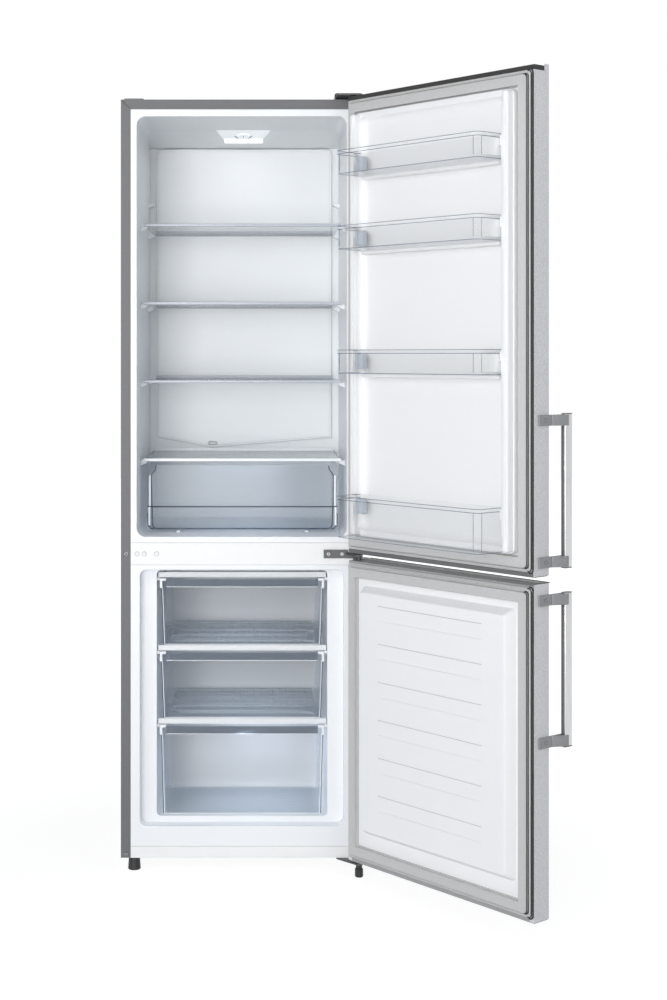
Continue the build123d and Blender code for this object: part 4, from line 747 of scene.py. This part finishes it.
class FRIDGE_OT_door_forms(bpy.types.Operator):
    """Rounds the dykes of the fridge door, trims the door caps, painting a highlight on the fridge door's lower cap,
    and lines the bands of the freezer door, their upper lines painted shade
    """

    bl_idname = "fridge.door_forms"
    bl_label = "Round the door forms"

    def execute(self, context):
        dykes = []
        for side in (-1, 1):
            near, far = sorted(side * x for x in DYKE_X)
            dykes.append(block("dyke", (near, -4, DYKE_FOOT), (far, DYKE_TOP, DYKE_HEAD), 7.9, 6))
        settle(dykes, "door_dyke_crowns", "fridge_door", "door_liner_white", True)
        bead = rod(trace("bead", DYKE_BEAD), 0.9)
        settle([bead], "door_dyke_bead", "fridge_door", "door_liner_white", True)
        low, high = shut_box("fridge_door_caps")
        # Painted highlight: a grey strip on the black lower cap of the fridge door, a lit copy of its black
        edge = block("edge", (low.x + 2, -13.4, low.z + 0.9), (high.x - 2, -11.6, low.z + 10), 0.5, 2)
        settle([edge], "fridge_door_low_highlight", "fridge_door", "grey_caps_and_painted_light", True)
        low, high = shut_box("freezer_door_skin")
        sheet = block("sheet", (low.x - 0.4, -54, high.z - 15), (low.x + 0.3, high.y, high.z - 0.6), 0.2, 1)
        settle([sheet], "freezer_door_skin_end", "freezer_door", "door_silver", True)
        path = (
            (low.x - 0.1, high.y, high.z - 0.3),
            (low.x - 0.1, -58.4, high.z),
            (high.x - 24, -58.4, high.z),
        )
        line = rod(trace("line", path), 0.8)
        settle([line], "freezer_door_skin_line", "freezer_door", "black_plastic", True)
        upper, lower = [], []
        for number in range(BANDS):
            z = BAND_FOOT + BAND_STEP * number
            for lines, level, thick in ((upper, z + BAND_HIGH, 0.75), (lower, z, 0.65)):
                lines.append(rod(trace("line", ((-152, BAND_FACE, level), (155, BAND_FACE, level))), thick))
        # Painted shade: grey lines along the upper edge of each sunk band, whose top wall lies in shade; the lower
        # lines are beads in the liner's own white
        settle(upper, "freezer_door_band_painted_shades", "freezer_door", "seal_grey", True)
        settle(lower, "freezer_door_band_lights", "freezer_door", "door_liner_white", True)
        return {"FINISHED"}


class FRIDGE_OT_crisper_edges(bpy.types.Operator):
    """Adds dark lines of painted shade along the edges of the crisper and of its cover, and strips of painted highlight
    on the crisper
    """

    bl_idname = "fridge.crisper_edges"
    bl_label = "Edge the crisper"

    def execute(self, context):
        radius = context.scene.fridge_look.bead_radius / MM
        low, high = still_box("crisper_drawer")
        half, y, z = (high.x - low.x) / 2 - 14, low.y + 0.1, low.z + CRISPER_STEP
        dark = [rod(trace("edge", ((-half, y, z), (half, y, z))), 1.9 * radius)]
        half, y, z = 200, low.y + 2.8, low.z + CRISPER_FOOT
        dark.append(rod(trace("edge", ((-half, y, z), (half, y, z))), 2.0 * radius))
        pale = []
        for side in (-1, 1):
            for edge in CRISPER_EDGES:
                line = trace("edge", [(side * x, y, low.z + z) for x, y, z in edge])
                dark.append(rod(line, 1.7 * radius))
            # Painted highlight: bright strips down both sides of the crisper's front
            for x, y, *levels in CRISPER_HIGHLIGHTS:
                pale.append(rod(trace("strip", [(side * x, y, low.z + z) for z in levels]), 3.0))
        settle(dark, "crisper_drawer_edges", "crisper_drawer", "painted_shade_edge_plastic")
        settle(pale, "crisper_drawer_highlights", "crisper_drawer", "painted_highlight_edge_plastic")
        low, high = still_box("crisper_cover_glass")
        sides = []
        for x in (low.x + 0.6, high.x - 0.6):
            line = trace("edge", ((x, low.y + 3, high.z + 0.4), (x, high.y - 3, high.z + 0.4)))
            sides.append(rod(line, 1.7))
        settle(sides, "crisper_cover_edges", "crisper_cover", "painted_shade_edge_plastic")
        return {"FINISHED"}


class FRIDGE_OT_drawer_beads(bpy.types.Operator):
    """Adds painted highlight and shade lines along the edges, the grip bands, floor ribs and white corner guides of the
    freezer drawers
    """

    bl_idname = "fridge.drawer_beads"
    bl_label = "Bead the drawers"

    def execute(self, context):
        radius = context.scene.fridge_look.bead_radius / MM
        for name in COATED["drawer_plastic"]:
            low, high = still_box(name)
            guides, bright, dark, ribs = [], [], [], []
            for side in (-1, 1):
                near, far = sorted((side * 189.0, side * 183.0))
                guides.append(block("guide", (near, 38, high.z - 22), (far, 46, high.z - 0.4), 1.2))
                near, far = sorted((side * 189.0, side * 174.5))
                guides.append(block("guide", (near, 36, high.z - 5), (far, 60, high.z + 0.6), 1.2))
                # Painted highlight and painted shade: a bright and a dark line down each front corner
                line = ((side * 183.0, 45.2, high.z - 19), (side * 178.2, 45.2, low.z + 3))
                bright.append(rod(trace("edge", line), 1.2 * radius))
                line = ((side * 185.4, 46.5, high.z - 24), (side * 180.6, 46.5, low.z + 3))
                dark.append(rod(trace("edge", line), 1.1 * radius))
            for half, y, z in ((173.5, 33.6, high.z - 18.4), (178.0, 45.2, low.z + 2.4)):
                bright.append(rod(trace("edge", ((-half, y, z), (half, y, z))), radius))
            grip = block("grip", (-173.6, 33.0, high.z - 18), (173.6, 33.8, high.z - 1.5), 0.3, 1)
            spacing = (high.y - 14 - RIB_FRONT) / (RIBS - 1)
            for number in range(RIBS):
                y, z = RIB_FRONT + spacing * number, low.z + 3.2
                ribs.append(rod(trace("rib", ((-RIB_HALF, y, z), (RIB_HALF, y, z))), 0.9 * radius))
            settle(ribs, f"{name}_ribs", name, "clear_plastic")
            settle(guides, f"{name}_guides", name, "trim_white")
            settle(bright, f"{name}_highlight_edges", name, "painted_highlight_edge_plastic")
            settle(dark, f"{name}_shade_edges", name, "painted_shade_edge_plastic")
            settle([grip], f"{name}_grip", name, "hook_plastic")
        return {"FINISHED"}


class FRIDGE_OT_dial_marks(bpy.types.Operator):
    """Adds the ticks round the thermostat dial and the line on it"""

    bl_idname = "fridge.dial_marks"
    bl_label = "Mark the dial"

    def execute(self, context):
        place = Matrix.Translation(Vector(DIAL_PLACE) * MM) @ Matrix.Rotation(-DIAL_SLOPE, 4, "X")
        ticks = []
        for angle, long, thick in TICKS:
            low = (-long / 2, TICK_RING - thick / 2, -0.4)
            tick = block("tick", low, (long / 2, TICK_RING + thick / 2, 0.1), 0.1, 1)
            tick.data.transform(place @ Matrix.Rotation(math.radians(angle), 4, "Z"))
            ticks.append(tick)
        settle(ticks, "dial_ticks", "cabinet", "black_plastic")
        line = block("line", (-0.7, -13, -5.5), (0.7, -2, -3.65), 0.1, 1)
        line.data.transform(place)
        settle([line], "dial_pointer", "thermostat_knob", "black_plastic")
        return {"FINISHED"}


class FRIDGE_OT_seams(bpy.types.Operator):
    """Adds the mitre seams, painted shade in the screw recesses and plug rims of the cabinet front and the rims inside
    the fridge
    """

    bl_idname = "fridge.seams"
    bl_label = "Draw the seams"

    def execute(self, context):
        seams = []
        for side in (-1, 1):
            seam = block("seam", (-15.4, -0.15, -0.55), (15.4, 0.3, 0.55), 0.12, 1)
            centre = Vector((side * MITRE[0], MITRE[1], MITRE[2])) * MM
            seam.data.transform(Matrix.Translation(centre) @ Matrix.Rotation(side * math.radians(-45), 4, "Y"))
            seams.append(seam)
        settle(seams, "mitre_seams", "cabinet", "dark_joint_and_shade")
        # Painted shade: flat near-black crosses where the screws' recesses lie in shade
        crosses = []
        for x, y, z in SCREWS:
            for wide, tall in ((4.6, 1.0), (1.0, 4.6)):
                low = (x - wide / 2, y - 0.12, z - tall / 2)
                crosses.append(block("cross", low, (x + wide / 2, y + 0.3, z + tall / 2), 0.1, 1))
        settle(crosses, "screw_recess_shades", "cabinet", "dark_joint_and_shade")
        rings = [hoop(place, (math.radians(90), 0, 0), 5.0, 0.5) for place in PLUGS]
        settle(rings, "plug_rims", "cabinet", "seal_grey")
        caps = []
        for place in SCREW_CAPS:
            bpy.ops.object.select_all(action="DESELECT")
            bpy.ops.mesh.primitive_uv_sphere_add(
                segments=24, ring_count=12, radius=1.0, location=Vector(place) * MM
            )
            cap = context.active_object
            cap.scale = Vector((4.0, 1.2, 4.0)) * MM
            bpy.ops.object.transform_apply()
            bpy.ops.object.shade_smooth()
            caps.append(cap)
        settle(caps, "flange_screw_caps", "cabinet", "grey_caps_and_painted_light")
        plug = block("plug", (-88, 436.4, 948.2), (-70, 438.4, 955.4), 0.9)
        settle([plug], "drain_cleaner", "cabinet", "trim_white")
        rim = rod(trace("rim", [(x, RIM_LINE, z) for x, z in COLD_WALL]), 2.6)
        # The rim lies almost flat on the cold wall
        rim.data.transform(
            Matrix.Translation((0, RIM_FACE * MM, 0))
            @ Matrix.Diagonal((1, RIM_FLATNESS, 1, 1))
            @ Matrix.Translation((0, -RIM_LINE * MM, 0))
        )
        settle([rim], "cold_wall_rim", "cabinet", "trim_white")
        mouth = rod(ring("rim", (24, 11), (-79, 431.8, 951.8), 5.4), 0.8)
        settle([mouth], "drain_rim", "cabinet", "trim_white")
        return {"FINISHED"}


def looked_at(tree):
    """1 on rays that look at the backdrop: from the camera, off gloss or through glass."""
    path = add_node(tree, "ShaderNodeLightPath")
    rays = path.outputs["Is Camera Ray"]
    for other in ("Is Glossy Ray", "Is Transmission Ray"):
        rays = add_node(tree, "ShaderNodeMath", {0: rays, 1: path.outputs[other]}, operation="MAXIMUM").outputs[0]
    return rays


class FRIDGE_OT_stage(bpy.types.Operator):
    """Sets the floor, the light and the camera"""

    bl_idname = "fridge.stage"
    bl_label = "Set the stage"

    def execute(self, context):
        look = context.scene.fridge_look
        bpy.ops.object.select_all(action="DESELECT")
        bpy.ops.mesh.primitive_plane_add(size=24.0, location=(0, 0, 0))
        floor = context.active_object
        floor.name = "studio_floor"
        # Pale rolled paper: white where it is looked at, with the shadow near the feet
        made, tree, out = blank("pale_studio_floor")
        place = add_node(tree, "ShaderNodeTexCoord")
        reach = add_node(tree, "ShaderNodeVectorMath", {0: place.outputs["Object"]}, operation="LENGTH")
        fade = add_node(
            tree,
            "ShaderNodeMapRange",
            {"Value": reach.outputs["Value"], "From Min": 0.6, "From Max": 2.0, "To Min": 0.82, "To Max": 1.0},
        )
        share = add_node(tree, "ShaderNodeMath", {0: looked_at(tree), 1: fade.outputs[0]}, operation="MULTIPLY")
        lit = add_node(tree, "ShaderNodeBsdfDiffuse", {"Color": linear("#f4f4f4")})
        glow = add_node(tree, "ShaderNodeEmission", {"Color": linear("#ffffff"), "Strength": 1.12})
        both = add_node(tree, "ShaderNodeMixShader", {0: share.outputs[0], 1: lit.outputs[0], 2: glow.outputs[0]})
        tree.links.new(both.outputs[0], out.inputs[0])
        wear(floor, made)

        world = bpy.data.worlds.new("studio")
        world.use_nodes = True
        tree = world.node_tree
        tree.nodes.clear()
        out = add_node(tree, "ShaderNodeOutputWorld")
        rays = looked_at(tree)
        strength = add_node(tree, "ShaderNodeMapRange", {"Value": rays, "To Min": look.sky, "To Max": 1.0})
        tint = add_node(
            tree,
            "ShaderNodeMix",
            {"Factor": rays, "A": linear("#dce7f5"), "B": linear("#ffffff")},
            data_type="RGBA",
        )
        ground = add_node(tree, "ShaderNodeBackground", {"Color": tint.outputs[2], "Strength": strength.outputs[0]})
        tree.links.new(ground.outputs[0], out.inputs[0])
        context.scene.world = world

        # Each lamp: power, size, place and aim in metres, colour
        drawer = look.drawer_power
        for name, power, size, spot, aim, shade in (
            ("front_softbox", look.front_power, 1.8, (-0.75, -4.65, 1.15), (0.1, 0.0, 0.9), "#ffffff"),
            ("key_softbox", look.key_power, 2.0, (-2.3, -3.1, 2.8), (0.1, 0.0, 0.9), "#ffffff"),
            ("fill_softbox", look.fill_power, 1.6, (1.9, -2.2, 2.7), (0.55, -0.4, 1.6), "#ffffff"),
            ("fridge_lamp", look.lamp_power, 0.09, (0.0, 0.31, 1.69), (0.0, 0.3, 0.8), "#ffffff"),
            ("crisper_lamp", 1.35 * drawer, 0.2, (0.0, 0.18, 0.915), (0.0, 0.18, 0.7), "#dae7fa"),
            ("upper_drawer_lamp", drawer, 0.2, (0.0, 0.18, 0.655), (0.0, 0.18, 0.4), "#dae7fa"),
            ("middle_drawer_lamp", 0.85 * drawer, 0.2, (0.0, 0.18, 0.487), (0.0, 0.18, 0.2), "#dae7fa"),
            ("lower_drawer_lamp", 2 * drawer, 0.2, (0.04, 0.15, 0.318), (0.06, 0.16, 0.0), "#dde9fb"),
        ):
            lamp = bpy.data.lights.new(name, "AREA")
            lamp.energy = power
            lamp.color = linear(shade)[:3]
            lamp.size = size
            holder = bpy.data.objects.new(name, lamp)
            context.scene.collection.objects.link(holder)
            holder.location = spot
            holder.rotation_euler = (Vector(aim) - Vector(spot)).to_track_quat("-Z", "Y").to_euler()
            holder.visible_camera = False

        eye = bpy.data.cameras.new("photo_camera")
        eye.lens = look.camera_lens
        eye.sensor_width = 36.0
        eye.shift_x, eye.shift_y = CAMERA_SHIFT
        eye.clip_end = 60.0
        camera = bpy.data.objects.new("photo_camera", eye)
        context.scene.collection.objects.link(camera)
        camera.location = look.camera_place
        camera.rotation_euler = (math.radians(90), 0, 0)
        context.scene.camera = camera
        context.scene.view_settings.view_transform = "Standard"
        return {"FINISHED"}


class FRIDGE_PT_panel(bpy.types.Panel):
    """Lists the steps of the fridge freezer"""

    bl_label = "Fridge freezer"
    bl_idname = "FRIDGE_PT_panel"
    bl_space_type = "VIEW_3D"
    bl_region_type = "UI"
    bl_category = "Fridge"

    def draw(self, context):
        look = context.scene.fridge_look
        for name in FridgeLook.__annotations__:
            self.layout.prop(look, name)
        for step in STEPS:
            self.layout.operator(step.bl_idname)


STEPS = (
    FRIDGE_OT_coat,
    FRIDGE_OT_seal_folds,
    FRIDGE_OT_bin_beads,
    FRIDGE_OT_handles,
    FRIDGE_OT_door_forms,
    FRIDGE_OT_crisper_edges,
    FRIDGE_OT_drawer_beads,
    FRIDGE_OT_dial_marks,
    FRIDGE_OT_seams,
    FRIDGE_OT_stage,
)
CLASSES = (FridgeLook, *STEPS, FRIDGE_PT_panel)


def register():
    """Adds the classes and the settings on the scene."""
    for cls in CLASSES:
        bpy.utils.register_class(cls)
    bpy.types.Scene.fridge_look = bpy.props.PointerProperty(type=FridgeLook)


def unregister():
    """Takes the settings and the classes away again."""
    del bpy.types.Scene.fridge_look
    for cls in reversed(CLASSES):
        bpy.utils.unregister_class(cls)


def main():
    """Makes the whole scene, step by step."""
    register()
    bpy.ops.fridge.coat()
    bpy.ops.fridge.seal_folds()
    bpy.ops.fridge.bin_beads()
    bpy.ops.fridge.handles()
    bpy.ops.fridge.door_forms()
    bpy.ops.fridge.crisper_edges()
    bpy.ops.fridge.drawer_beads()
    bpy.ops.fridge.dial_marks()
    bpy.ops.fridge.seams()
    bpy.ops.fridge.stage()


if __name__ == "__main__":
    main()
